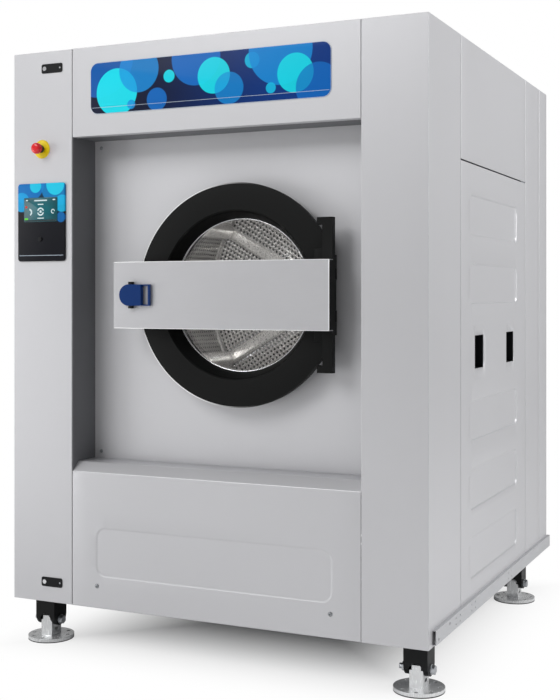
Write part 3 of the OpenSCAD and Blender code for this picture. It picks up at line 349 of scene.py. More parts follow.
# The same coat on the side and top sheets of the recess, darkened as painted shade: these walls lie in the
# recess's shade
FOLD_SILVER = Finish(
    "satin_silver_fold_coat", "#6E6F72", metallic=0.3, roughness=0.5, tone_spread=0.012, mark_mm=1.2,
    relief_mm=0.008, cloud_mm=700.0, cloud_spread=0.015, specular=0.3,
)
# Brushed stainless of the crossbar: fine level streaks that draw highlights out along x
BRUSHED_BAR = Finish(
    "brushed_stainless_level", "#C6C6C9", metallic=0.5, roughness=0.36, tone_spread=0.02, mark_mm=0.8,
    run=Run.ALONG_X, relief_mm=0.006,
)
# Near-white thin lines on the crossbar's edges: painted highlights, not bare cut metal
BARE_EDGE = Finish(
    "bare_cut_edge", "#F4F4F5", metallic=0.2, roughness=0.3, tone_spread=0.01, mark_mm=1.0, relief_mm=0.0,
)
# Bright rolled stainless of the trim rails
BRIGHT_RAIL = Finish(
    "bright_stainless_rail", "#C4C5C8", metallic=0.5, roughness=0.36, tone_spread=0.01, mark_mm=0.9,
    run=Run.ALONG_Y, relief_mm=0.003,
)
# Black powder coat of the loading door: a deep soft black with a faint orange peel
DOOR_BLACK = Finish(
    "black_powder_coat", "#0B0C0C", roughness=0.5, tone_spread=0.05, mark_mm=1.6, relief_mm=0.02,
    specular=0.15,
)
# Blue moulded nylon of the handle: even colour with a fine spark-eroded texture
HANDLE_BLUE = Finish(
    "blue_moulded_nylon", "#002F6C", roughness=0.36, tone_spread=0.03, mark_mm=0.7, relief_mm=0.02,
    specular=0.2,
)
# Black moulded plastic of ears, cups and plates
BLACK_PLASTIC = Finish(
    "black_moulded_plastic", "#101113", roughness=0.48, tone_spread=0.05, mark_mm=0.8, relief_mm=0.02,
    specular=0.2,
)
# Gloss red moulded plastic of the stop button
STOP_RED = Finish(
    "gloss_red_plastic", "#E0151B", roughness=0.24, tone_spread=0.01, mark_mm=2.0, relief_mm=0.004, coat=0.4,
)
# Yellow moulded plastic under the stop button
STOP_YELLOW = Finish(
    "satin_yellow_plastic", "#F2D600", roughness=0.35, tone_spread=0.01, mark_mm=1.0, relief_mm=0.006,
)
# Dark grey stem of the stop button
STEM_GREY = Finish("dark_grey_acetal", "#2B2D30", roughness=0.4, mark_mm=1.0)
# Bright nickel plate of the lock cylinders
NICKEL = Finish(
    "bright_nickel_plate", "#E6E7E9", metallic=0.9, roughness=0.18, tone_spread=0.01, mark_mm=2.0,
    relief_mm=0.002,
)
# Brushed stainless of the feet: bright, with slow upright marks
FOOT_STEEL = Finish(
    "brushed_stainless_upright", "#E6E7E8", metallic=0.65, roughness=0.24, tone_spread=0.05, mark_mm=1.0,
    run=Run.ALONG_Z, relief_mm=0.01,
)
# Zinc-plated screws and bolts: cool and slightly mottled
ZINC = Finish("bright_zinc_plate", "#C2C5C9", metallic=0.9, roughness=0.3, tone_spread=0.05, mark_mm=3.0)
# Passivated screws of the covers, a shade darker than the silver round them
SCREW_ZINC = Finish(
    "dark_passivated_zinc", "#96999C", metallic=0.7, roughness=0.35, tone_spread=0.05, mark_mm=3.0,
)
# Black phosphated steel of the leg brackets
BLACK_STEEL = Finish(
    "black_phosphated_steel", "#131415", metallic=0.2, roughness=0.42, tone_spread=0.08, mark_mm=2.0,
    specular=0.25,
)
# Moulded black rubber: dull, with a faint bloom
RUBBER = Finish(
    "black_moulded_rubber", "#1A1B1C", roughness=0.75, tone_spread=0.08, mark_mm=1.5, relief_mm=0.04,
    sheen=0.1,
)
# Grey EPDM of the door seal
SEAL_RUBBER = Finish(
    "grey_epdm_rubber", "#3A3C3F", roughness=0.6, tone_spread=0.05, mark_mm=1.5, relief_mm=0.03, sheen=0.1,
)
# Polished stainless of the drum's perforated sheets, hoops and back, with slow streaks along its length; its
# darker tone than the bands is painted shade of the holes
DRUM_STEEL = Finish(
    "polished_drum_stainless", "#A8A6A4", metallic=0.6, roughness=0.34, rough_spread=0.02, tone_spread=0.02,
    mark_mm=2.5, run=Run.ALONG_Y, relief_mm=0.0,
)
# Smooth bands between the drum's perforated fields: the same steel, a little smoother, in its lighter tone;
# the sheets' darker tone is painted shade
BAND_STEEL = Finish(
    "polished_band_stainless", "#E6E4E1", metallic=0.6, roughness=0.28, rough_spread=0.02, tone_spread=0.02,
    mark_mm=4.0, relief_mm=0.0,
)
# Pickled stainless of the tub, painted dark grey as the shade seen through the drum's holes; weld
# discolouring is too faint to draw
TUB_STEEL = Finish(
    "pickled_stainless", "#46484B", metallic=0.5, roughness=0.55, tone_spread=0.06, mark_mm=4.0,
)
# Grey primer on the frame's tube and the tub's cradle
FRAME_PAINT = Finish("grey_primer", "#8C9096", roughness=0.55, tone_spread=0.04, mark_mm=1.5, relief_mm=0.03)
# Sand-cast iron under grey paint
CAST_GREY = Finish(
    "painted_cast_iron", "#7A7D80", roughness=0.6, tone_spread=0.08, mark_mm=2.5, relief_mm=0.15,
)
# Blue-grey enamel of the motor
MOTOR_BLUE = Finish(
    "blue_motor_enamel", "#3F5873", roughness=0.4, tone_spread=0.05, mark_mm=2.0, relief_mm=0.05,
)
# Ground and turned steel of shafts, bearings and rods
GROUND_STEEL = Finish("ground_steel", "#B9BCC0", metallic=1.0, roughness=0.22, tone_spread=0.04, mark_mm=0.7)
# Phosphated iron of the pulleys
PULLEY_IRON = Finish(
    "phosphated_iron", "#4A4D52", metallic=0.6, roughness=0.5, tone_spread=0.08, mark_mm=2.0,
)
# Dark oiled spring steel
SPRING_STEEL = Finish(
    "oiled_spring_steel", "#55585D", metallic=0.8, roughness=0.38, tone_spread=0.08, mark_mm=1.5,
)
# Dezincification-resistant brass of the inlets
BRASS = Finish("machined_brass", "#B9924C", metallic=1.0, roughness=0.28, tone_spread=0.04, mark_mm=1.0)
# Grey PP of the drain pipe and valve
DRAIN_GREY = Finish(
    "grey_polypropylene", "#6B6E73", roughness=0.5, tone_spread=0.03, mark_mm=1.2, relief_mm=0.02,
)
# Folded grey sheet covers of the electrical units
UNIT_GREY = Finish("grey_unit_cover", "#4A4E54", metallic=0.2, roughness=0.5, tone_spread=0.04, mark_mm=1.2)
# Pale grey terminal plastic
TERMINAL_GREY = Finish("pale_grey_polyamide", "#B9BCBE", roughness=0.5, tone_spread=0.03, mark_mm=0.8)
# Clear glass of the door
DOOR_GLASS = ClearGlass("toughened_clear_glass", "#F4F8F8", roughness=0.0)


def span(node: str) -> tuple[np.ndarray, np.ndarray]:
    """Returns the lowest and the highest corner of a CAD node."""
    low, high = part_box(node)
    return np.array(low), np.array(high)


def make_object(
    name: str,
    shape: Shape,
    finish: Finish,
    body: str,
    replaces: tuple[str, ...] = (),
    smooth_deg: float = SMOOTH_DEG,
) -> bpy.types.Object:
    """Makes a finished piece from points and faces, with coincident points merged.

    Args:
        name: The piece's name.
        shape: Its points and faces.
        finish: What it is made of.
        body: The CAD body that it rides on, or "" where it is blended between two.
        replaces: CAD nodes that it stands for.
        smooth_deg: Edges sharper than this stay sharp.

    Returns:
        The object, at the origin, with its faces turned outwards.
    """
    mesh = bpy.data.meshes.new(name)
    points, faces = shape
    mesh.from_pydata(np.asarray(points, float).reshape(-1, 3), [], faces)
    work = bmesh.new()
    work.from_mesh(mesh)
    bmesh.ops.remove_doubles(work, verts=work.verts, dist=WELD)
    bmesh.ops.recalc_face_normals(work, faces=work.faces)
    work.to_mesh(mesh)
    work.free()
    return finish_object(mesh, name, finish, body, replaces, smooth_deg)


def finish_object(
    mesh: bpy.types.Mesh,
    name: str,
    finish: Finish,
    body: str,
    replaces: tuple[str, ...] = (),
    smooth_deg: float = SMOOTH_DEG,
) -> bpy.types.Object:
    """Dresses a mesh and puts it on its body.

    Args:
        mesh: The piece's mesh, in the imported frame.
        name: The piece's name.
        finish: What it is made of.
        body: The CAD body that it rides on, or "" where it is blended between two.
        replaces: CAD nodes that it stands for.
        smooth_deg: Edges sharper than this stay sharp.

    Returns:
        The linked object.
    """
    mesh.shade_smooth()
    mesh.set_sharp_from_angle(angle=math.radians(smooth_deg))
    mesh.materials.append(finish.material())
    piece = bpy.data.objects.new(name, mesh)
    bpy.context.scene.collection.objects.link(piece)
    if body:
        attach(piece, body)
    if replaces:
        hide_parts(*replaces)
    LOG.info("%s: %d faces on %s", name, len(mesh.polygons), body)
    return piece


def grid_faces(rows: int, cols: int, close_rows: bool = False, close_cols: bool = False) -> list:
    """Returns the quads of a grid of points.

    Args:
        rows: Number of rows.
        cols: Number of columns.
        close_rows: The last row joins the first.
        close_cols: The last column joins the first.

    Returns:
        A list of four point numbers for each quad.
    """
    i = np.arange(rows if close_rows else rows - 1)[:, None]
    j = np.arange(cols if close_cols else cols - 1)[None, :]
    i2, j2 = (i + 1) % rows, (j + 1) % cols
    quads = np.stack([i * cols + j, i * cols + j2, i2 * cols + j2, i2 * cols + j], axis=-1)
    return quads.reshape(-1, 4).tolist()


def end_caps(rows: int, cols: int) -> list:
    """Returns the two flat faces that close a swept outline at its first and its last row."""
    last = (rows - 1) * cols
    return [list(range(cols)), list(range(last, last + cols))[::-1]]


def rounded(corners: np.ndarray, radii: object, steps: int = 5) -> np.ndarray:
    """Rounds the corners of a closed outline.

    Args:
        corners: (n, 2) corner points in order.
        radii: One radius, or one for each corner; 0 keeps a corner sharp.
        steps: Points on each round corner.

    Returns:
        (m, 2) points: at each corner an arc whose ends lie r * tan(turn / 2)
        from it along both sides.
    """
    corners = np.asarray(corners, float)
    radii = np.broadcast_to(np.asarray(radii, float), (len(corners),))
    before = np.roll(corners, 1, axis=0) - corners
    after = np.roll(corners, -1, axis=0) - corners
    before /= np.linalg.norm(before, axis=1)[:, None]
    after /= np.linalg.norm(after, axis=1)[:, None]
    half = np.arccos(np.clip((before * after).sum(1), -1, 1)) / 2
    middle = before + after
    middle /= np.maximum(np.linalg.norm(middle, axis=1), 1e-9)[:, None]
    centre = corners + middle * (radii / np.sin(half))[:, None]
    start = corners + before * (radii / np.tan(half))[:, None] - centre
    end = corners + after * (radii / np.tan(half))[:, None] - centre
    turn = np.arctan2(start[:, 0] * end[:, 1] - start[:, 1] * end[:, 0], (start * end).sum(1))
    share = np.linspace(0, 1, steps)
    angle = turn[:, None] * share[None, :]
    x = start[:, :1] * np.cos(angle) - start[:, 1:] * np.sin(angle)
    y = start[:, :1] * np.sin(angle) + start[:, 1:] * np.cos(angle)
    arcs = np.stack([x, y], axis=-1) + centre[:, None, :]
    kept = np.where((radii > 0)[:, None, None], arcs, corners[:, None, :])
    flat = kept.reshape(-1, 2)
    step = np.linalg.norm(flat - np.roll(flat, 1, axis=0), axis=1)
    return flat[step > 1e-7]


def lathe_points(profile: np.ndarray, x: float, z: float, turns: np.ndarray) -> np.ndarray:
    """Turns a profile about a line along y.

    Args:
        profile: (n, 2) radius and y.
        x: The line's x.
        z: The line's z.
        turns: Angles from +x towards +z.

    Returns:
        (len(turns), n, 3) points: x + r cos a, y, z + r sin a.
    """
    r, y = profile[:, 0][None, :], profile[:, 1][None, :]
    a = turns[:, None]
    along = np.broadcast_to(y, (len(turns), len(profile)))
    return np.stack([x + r * np.cos(a), along, z + r * np.sin(a)], axis=-1)


def full_turn(steps: int) -> np.ndarray:
    """Returns equal angles round a full turn, without the closing one."""
    return np.arange(steps) * (2 * math.pi / steps)


def turned(
    profile: np.ndarray, x: float, z: float, steps: int, ring: bool = False
) -> Shape:
    """Turns a profile fully about a line along y.

    Args:
        profile: (n, 2) radius and y.
        x: The line's x.
        z: The line's z.
        steps: Points round the turn.
        ring: The profile is a closed outline clear of the line, not one that starts and ends on it.

    Returns:
        Points as lathe_points gives them, and faces.
    """
    points = lathe_points(profile, x, z, full_turn(steps))
    return points, grid_faces(steps, len(profile), close_rows=True, close_cols=ring)


def plate_points(
    outline: np.ndarray, y_front: float, y_back: float, edge: float, steps: int = 4
) -> Shape:
    """Makes a plate that faces -y with a rounded front edge.

    Args:
        outline: (n, 2) x and z, counter-clockwise seen from the front.
        y_front: The front face.
        y_back: The back face.
        edge: Radius of the front edge.
        steps: Rings over that edge.

    Returns:
        Points and faces: rings whose inset is edge * (1 - sin t) and whose depth
        is edge * (1 - cos t), closed by a flat face at either end.
    """
    ahead = np.roll(outline, -1, axis=0) - np.roll(outline, 1, axis=0)
    normal = np.stack([ahead[:, 1], -ahead[:, 0]], axis=1)
    normal /= np.maximum(np.linalg.norm(normal, axis=1), 1e-9)[:, None]
    t = np.linspace(0, math.pi / 2, steps)
    inset = np.append(edge * (1 - np.sin(t)), 0.0)
    depth = np.append(y_front + edge * (1 - np.cos(t)), y_back)
    flat = outline[None, :, :] - normal[None, :, :] * inset[:, None, None]
    ys = np.broadcast_to(depth[:, None], flat.shape[:2])
    points = np.stack([flat[..., 0], ys, flat[..., 1]], axis=-1)
    count = len(outline)
    faces = grid_faces(len(inset), count, close_cols=True) + end_caps(len(inset), count)
    return points.reshape(-1, 3), faces


def box_outline(x0: float, z0: float, x1: float, z1: float, radius: float, steps: int = 8) -> np.ndarray:
    """Returns a rectangle with round corners, counter-clockwise seen from the front."""
    return rounded(np.array([[x0, z0], [x1, z0], [x1, z1], [x0, z1]]), radius, steps)


def rim_points(outline: np.ndarray, wide: float, y_front: float, y_back: float) -> Shape:
    """Makes a thin raised line that follows an outline.

    Args:
        outline: (n, 2) x and z, counter-clockwise seen from the front.
        wide: The line's width, inwards from the outline.
        y_front: The front face.
        y_back: The back face.

    Returns:
        Points and faces of four closed rings: outer back, outer front, inner front, inner back.
    """
    ahead = np.roll(outline, -1, axis=0) - np.roll(outline, 1, axis=0)
    normal = np.stack([ahead[:, 1], -ahead[:, 0]], axis=1)
    normal /= np.maximum(np.linalg.norm(normal, axis=1), 1e-9)[:, None]
    inner = outline - normal * wide
    rings = [(outline, y_back), (outline, y_front), (inner, y_front), (inner, y_back)]
    points = np.stack([np.stack([r[:, 0], np.full(len(r), y), r[:, 1]], axis=1) for r, y in rings])
    return points.reshape(-1, 3), grid_faces(4, len(outline), close_rows=True, close_cols=True)


@dataclass(frozen=True)
class Softening:
    """How a copy of a CAD solid gets its worn or folded edges."""

    edge_mm: float
    segments: int = 2
    angle_deg: float = 28.0


def dressed_copy(node: str, finish: Finish, body: str, soft: Softening) -> bpy.types.Object:
    """Replaces a CAD node by a copy with rounded edges.

    Args:
        node: The CAD node.
        finish: What it is made of.
        body: The CAD body that it rides on.
        soft: Size of the rounded edges.

    Returns:
        The new piece, which has the node's shape with each sharp edge rounded.
    """
    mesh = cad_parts[node].data.copy()
    mesh.materials.clear()
    work = bmesh.new()
    work.from_mesh(mesh)
    bmesh.ops.remove_doubles(work, verts=work.verts, dist=CAD_WELD)
    flat = math.radians(0.6)
    bmesh.ops.dissolve_limit(
        work, angle_limit=flat, use_dissolve_boundaries=False, verts=work.verts, edges=work.edges
    )
    work.to_mesh(mesh)
    work.free()
    piece = finish_object(mesh, f"{node}_dressed", finish, body, (node,))
    bevel = piece.modifiers.new("edges", "BEVEL")
    bevel.width = soft.edge_mm * MM
    bevel.segments = soft.segments
    bevel.limit_method = "ANGLE"
    bevel.angle_limit = math.radians(soft.angle_deg)
    bevel.harden_normals = True
    bevel.miter_outer = "MITER_ARC"
    return piece


def dress_node(node: str, finish: Finish) -> None:
    """Gives a CAD node that stays its finish.

    Args:
        node: The CAD node.
        finish: What it is made of.
    """
    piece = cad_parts[node]
    if not piece.material_slots:
        piece.data.materials.append(finish.material())
    for place in piece.material_slots:
        place.material = finish.material()


def perforated(
    cells: tuple[int, int], pitch: tuple[float, float], hole: float, surface: object
) -> Shape:
    """Makes a sheet of square cells, each with an eight-sided hole.

    Args:
        cells: Number of cells along u and v.
        pitch: Size of a cell along u and v.
        hole: Radius of the holes.
        surface: Function of u and v arrays, in metres, that returns places.

    Returns:
        Points and faces. The points are the corners and side middles of all
        cells on a grid of half cells, then eight points round each hole; each
        cell has eight quads between its rim and its hole.
    """
    nu, nv = cells
    gu, gv = np.meshgrid(np.arange(2 * nu + 1), np.arange(2 * nv + 1), indexing="ij")
    rim = surface(gu * pitch[0] / 2, gv * pitch[1] / 2).reshape(-1, 3)
    cu, cv = np.meshgrid(np.arange(nu) * 2 + 1, np.arange(nv) * 2 + 1, indexing="ij")
    cu, cv = cu.ravel(), cv.ravel()
    turn = np.arange(8) * math.pi / 4
    hu = cu[:, None] * pitch[0] / 2 + hole * np.cos(turn)[None, :]
    hv = cv[:, None] * pitch[1] / 2 + hole * np.sin(turn)[None, :]
    holes = surface(hu, hv).reshape(-1, 3)
    du = np.array([1, 1, 0, -1, -1, -1, 0, 1])
    dv = np.array([0, 1, 1, 1, 0, -1, -1, -1])
    outer = (cu[:, None] + du) * (2 * nv + 1) + cv[:, None] + dv
    inner = len(rim) + np.arange(len(cu))[:, None] * 8 + np.arange(8)[None, :]
    quads = np.stack([outer, np.roll(outer, -1, 1), np.roll(inner, -1, 1), inner], axis=-1)
    used = np.concatenate([rim, holes])
    return used, quads.reshape(-1, 4).tolist()


def sheet_object(
    name: str,
    shape: Shape,
    finish: Finish,
    body: str,
    wall: float,
    offset: float,
) -> bpy.types.Object:
    """Makes a thin sheet and gives it a wall.

    Args:
        name: The piece's name.
        shape: Points and faces of the sheet's shown side.
        finish: What it is made of.
        body: The CAD body that it rides on.
        wall: The sheet's thickness.
        offset: -1 puts the wall behind the faces, +1 in front of them.

    Returns:
        The piece, with a live Solidify modifier.
    """
    mesh = bpy.data.meshes.new(name)
    points, faces = shape
    mesh.from_pydata(points, [], faces)
    work = bmesh.new()
    work.from_mesh(mesh)
    loose = [v for v in work.verts if not v.link_faces]
    bmesh.ops.delete(work, geom=loose, context="VERTS")
    work.to_mesh(mesh)
    work.free()
    piece = finish_object(mesh, name, finish, body)
    solid = piece.modifiers.new("wall", "SOLIDIFY")
    solid.thickness = wall
    solid.offset = offset
    return piece


def join_parts(parts: list[Shape]) -> Shape:
    """Joins several sets of points and faces into one.

    Args:
        parts: Pairs of points and faces.

    Returns:
        All points, and the faces with their numbers moved up.
    """
    points, faces, first = [], [], 0
    for some, quads in parts:
        some = np.asarray(some).reshape(-1, 3)
        points.append(some)
        faces += [[n + first for n in quad] for quad in quads]
        first += len(some)
    return np.concatenate(points), faces


@dataclass(frozen=True)
class Lamp:
    """A square soft lamp: where it hangs, the point that it faces, its side and its power in watts."""

    name: str
    place: tuple[float, float, float]
    aim: tuple[float, float, float]
    size: float
    power: float

    def build(self) -> bpy.types.Object:
        """Adds the lamp.

        Returns:
            The lamp, turned to the point that it faces.
        """
        data = bpy.data.lights.new(self.name, "AREA")
        data.shape = "SQUARE"
        data.size = self.size
        data.energy = self.power
        made = bpy.data.objects.new(self.name, data)
        made.location = self.place
        way = np.array(self.aim, float) - np.array(self.place, float)
        made.rotation_euler = Vector(way).to_track_quat("-Z", "Y").to_euler()
        bpy.context.scene.collection.objects.link(made)
        return made


@dataclass
class Stage:
    """Floor, backdrop, lamps and camera: a plain pale studio."""

    camera_place: tuple[float, float, float] = (1.717, -3.886, 1.132)
    camera_turn_deg: float = 24.606
    lens_mm: float = 60.93
    sensor_mm: float = 36.0
    shift: tuple[float, float] = (-0.0122, -0.0766)
    floor_half: float = 30.0
    footprint: tuple[float, float] = (0.72, 0.75)
    fade: tuple[float, float] = (-0.60, 0.15)
    sky: float = 0.34
    lamps: tuple[Lamp, ...] = (
        Lamp("front_left", (-3.3, -7.2, 6.2), (0, -0.7, 0.9), 4.2, 330.0),
        Lamp("low_fill", (-4.6, -3.4, 0.9), (0.2, -0.7, 0.4), 2.4, 60.0),
        Lamp("right_side", (4.2, 0.6, 2.8), (0.7, 0.1, 1.3), 2.4, 118.0),
    )

    def camera(self) -> None:
        """Adds the camera at the photograph's place; it looks level, and its shift frames the machine."""
        data = bpy.data.cameras.new("camera")
        data.sensor_width = self.sensor_mm
        data.lens = self.lens_mm
        data.shift_x, data.shift_y = self.shift
        made = bpy.data.objects.new("camera", data)
        made.location = self.camera_place
        made.rotation_euler = (math.pi / 2, 0.0, math.radians(self.camera_turn_deg))
        bpy.context.scene.collection.objects.link(made)
        bpy.context.scene.camera = made

    def world(self) -> None:
        """Lights the scene evenly; the camera sees plain white, also through glass."""
        world = bpy.data.worlds.new("studio")
        world.use_nodes = True
        bpy.context.scene.world = world
        tree = world.node_tree
        tree.nodes.clear()
        seen = self.seen_share(tree)
        strength = map_range(tree, seen, (0.0, 1.0), (self.sky, 1.0))
        sky = add_node(tree, "ShaderNodeBackground", {"Color": (1, 1, 1, 1), "Strength": strength})
        add_node(tree, "ShaderNodeOutputWorld", {"Surface": sky.outputs[0]})

    def seen_share(self, tree: bpy.types.NodeTree) -> bpy.types.NodeSocket:
        """Adds nodes that tell the camera's rays from others.

        Args:
            tree: The tree that gets the nodes.

        Returns:
            1 for camera and transmission rays and 0 for others.
        """
        path = add_node(tree, "ShaderNodeLightPath")
        rays = {0: path.outputs["Is Camera Ray"], 1: path.outputs["Is Transmission Ray"]}
        return add_node(tree, "ShaderNodeMath", rays, operation="MAXIMUM").outputs[0]

    def floor(self) -> None:
        """Adds the floor, which keeps the shadow under the machine and fades to white farther out."""
        half = self.floor_half
        mesh = bpy.data.meshes.new("floor")
        corners = [(-half, -half, 0), (half, -half, 0), (half, half, 0), (-half, half, 0)]
        mesh.from_pydata(corners, [], [(0, 1, 2, 3)])
        made = bpy.data.materials.new("pale_studio_floor")
        made.use_nodes = True
        tree = made.node_tree
        tree.nodes.clear()
        place = add_node(tree, "ShaderNodeTexCoord").outputs["Object"]
        size = add_node(tree, "ShaderNodeVectorMath", {0: place}, operation="ABSOLUTE").outputs[0]
        outside = {0: size, 1: (*self.footprint, 0)}
        past = add_node(tree, "ShaderNodeVectorMath", outside, operation="SUBTRACT").outputs[0]
        parts = add_node(tree, "ShaderNodeSeparateXYZ", {0: past}).outputs
        away = add_node(tree, "ShaderNodeMath", {0: parts[0], 1: parts[1]}, operation="MAXIMUM").outputs[0]
        share = map_range(tree, away, self.fade, (0.0, 1.0), interpolation_type="SMOOTHSTEP")
        seen = {0: share, 1: self.seen_share(tree)}
        both = add_node(tree, "ShaderNodeMath", seen, operation="MULTIPLY").outputs[0]
        dull = add_node(tree, "ShaderNodeBsdfDiffuse", {"Color": linear("#F7F7F7")})
        white = add_node(tree, "ShaderNodeEmission", {"Color": (1, 1, 1, 1), "Strength": 1.0})
        mixed = add_node(tree, "ShaderNodeMixShader", {0: both, 1: dull.outputs[0], 2: white.outputs[0]})
        add_node(tree, "ShaderNodeOutputMaterial", {"Surface": mixed.outputs[0]})
        mesh.materials.append(made)
        floor = bpy.data.objects.new("floor", mesh)
        bpy.context.scene.collection.objects.link(floor)

    def build(self) -> None:
        """Builds the whole stage; a small lamp in the drum's mouth shows the perforated steel."""
        self.camera()
        self.world()
        self.floor()
        for lamp in self.lamps:
            lamp.build()
        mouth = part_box("drum_shell")[0][1]
        small = Lamp("drum_mouth", (0.02, mouth + 0.04, 1.26), (0.14, mouth + 0.60, 1.08), 0.18, 3.4)
        small.build().visible_camera = False
        bpy.context.scene.view_settings.view_transform = "Standard"


@dataclass
class Covers:
    """Folded sheet covers of the cabinet, their screws, rails and vents."""

    fold: Softening = Softening(edge_mm=1.4, segments=3)
    thin: Softening = Softening(edge_mm=0.9, segments=2)

    def build(self) -> None:
        """Dresses the covers."""
        for node in ("header_panel", "column_covers", "top_panel"):
            dressed_copy(node, PANEL_SILVER, "cabinet", self.fold)
        dress_node("rear_panels", PANEL_SILVER)
        # The recess's side and top sheets take the darkened coat: painted shade
        dressed_copy("recess_surround", FOLD_SILVER, "cabinet", self.thin)
        # The recess's back sheet takes the lightened coat: painted light
        dressed_copy("recess_panel", RECESS_SILVER, "cabinet", self.thin)
        dressed_copy("trim_rails", BRIGHT_RAIL, "cabinet", self.thin)
        dressed_copy("side_vent_cups", BLACK_PLASTIC, "cabinet", self.thin)
        dressed_copy("cover_screws", SCREW_ZINC, "cabinet", Softening(edge_mm=0.4))


def fold_depth(inside: np.ndarray, fold: float) -> np.ndarray:
    """Returns how far a folded edge falls back, f - sqrt(f^2 - (f - e)^2), at the distance e inside it."""
    return fold - np.sqrt(np.maximum(fold * fold - (fold - inside) ** 2, 0))


def press_share(
    across: np.ndarray, up: np.ndarray, field: tuple[float, float, float, float], corner: float, slope: float
) -> np.ndarray:
    """Returns how deep each place lies in a pressed field with round corners.

    Args:
        across: Places along the field's width.
        up: Heights.
        field: The field's first and last place across, and its lowest and highest.
        corner: Radius of its corners.
        slope: Width of the slope inside its edge.

    Returns:
        The smooth step t * t * (3 - 2 * t), where t is the distance inside the
        field's edge over the slope's width, from 0 to 1.
    """
    first, last, low, high = field
    qa = np.abs(across - (first + last) / 2) - ((last - first) / 2 - corner)
    qu = np.abs(up - (low + high) / 2) - ((high - low) / 2 - corner)
    away = np.hypot(np.maximum(qa, 0), np.maximum(qu, 0)) + np.minimum(np.maximum(qa, qu), 0) - corner
    t = np.clip(-away / slope, 0, 1)
    return t * t * (3 - 2 * t)


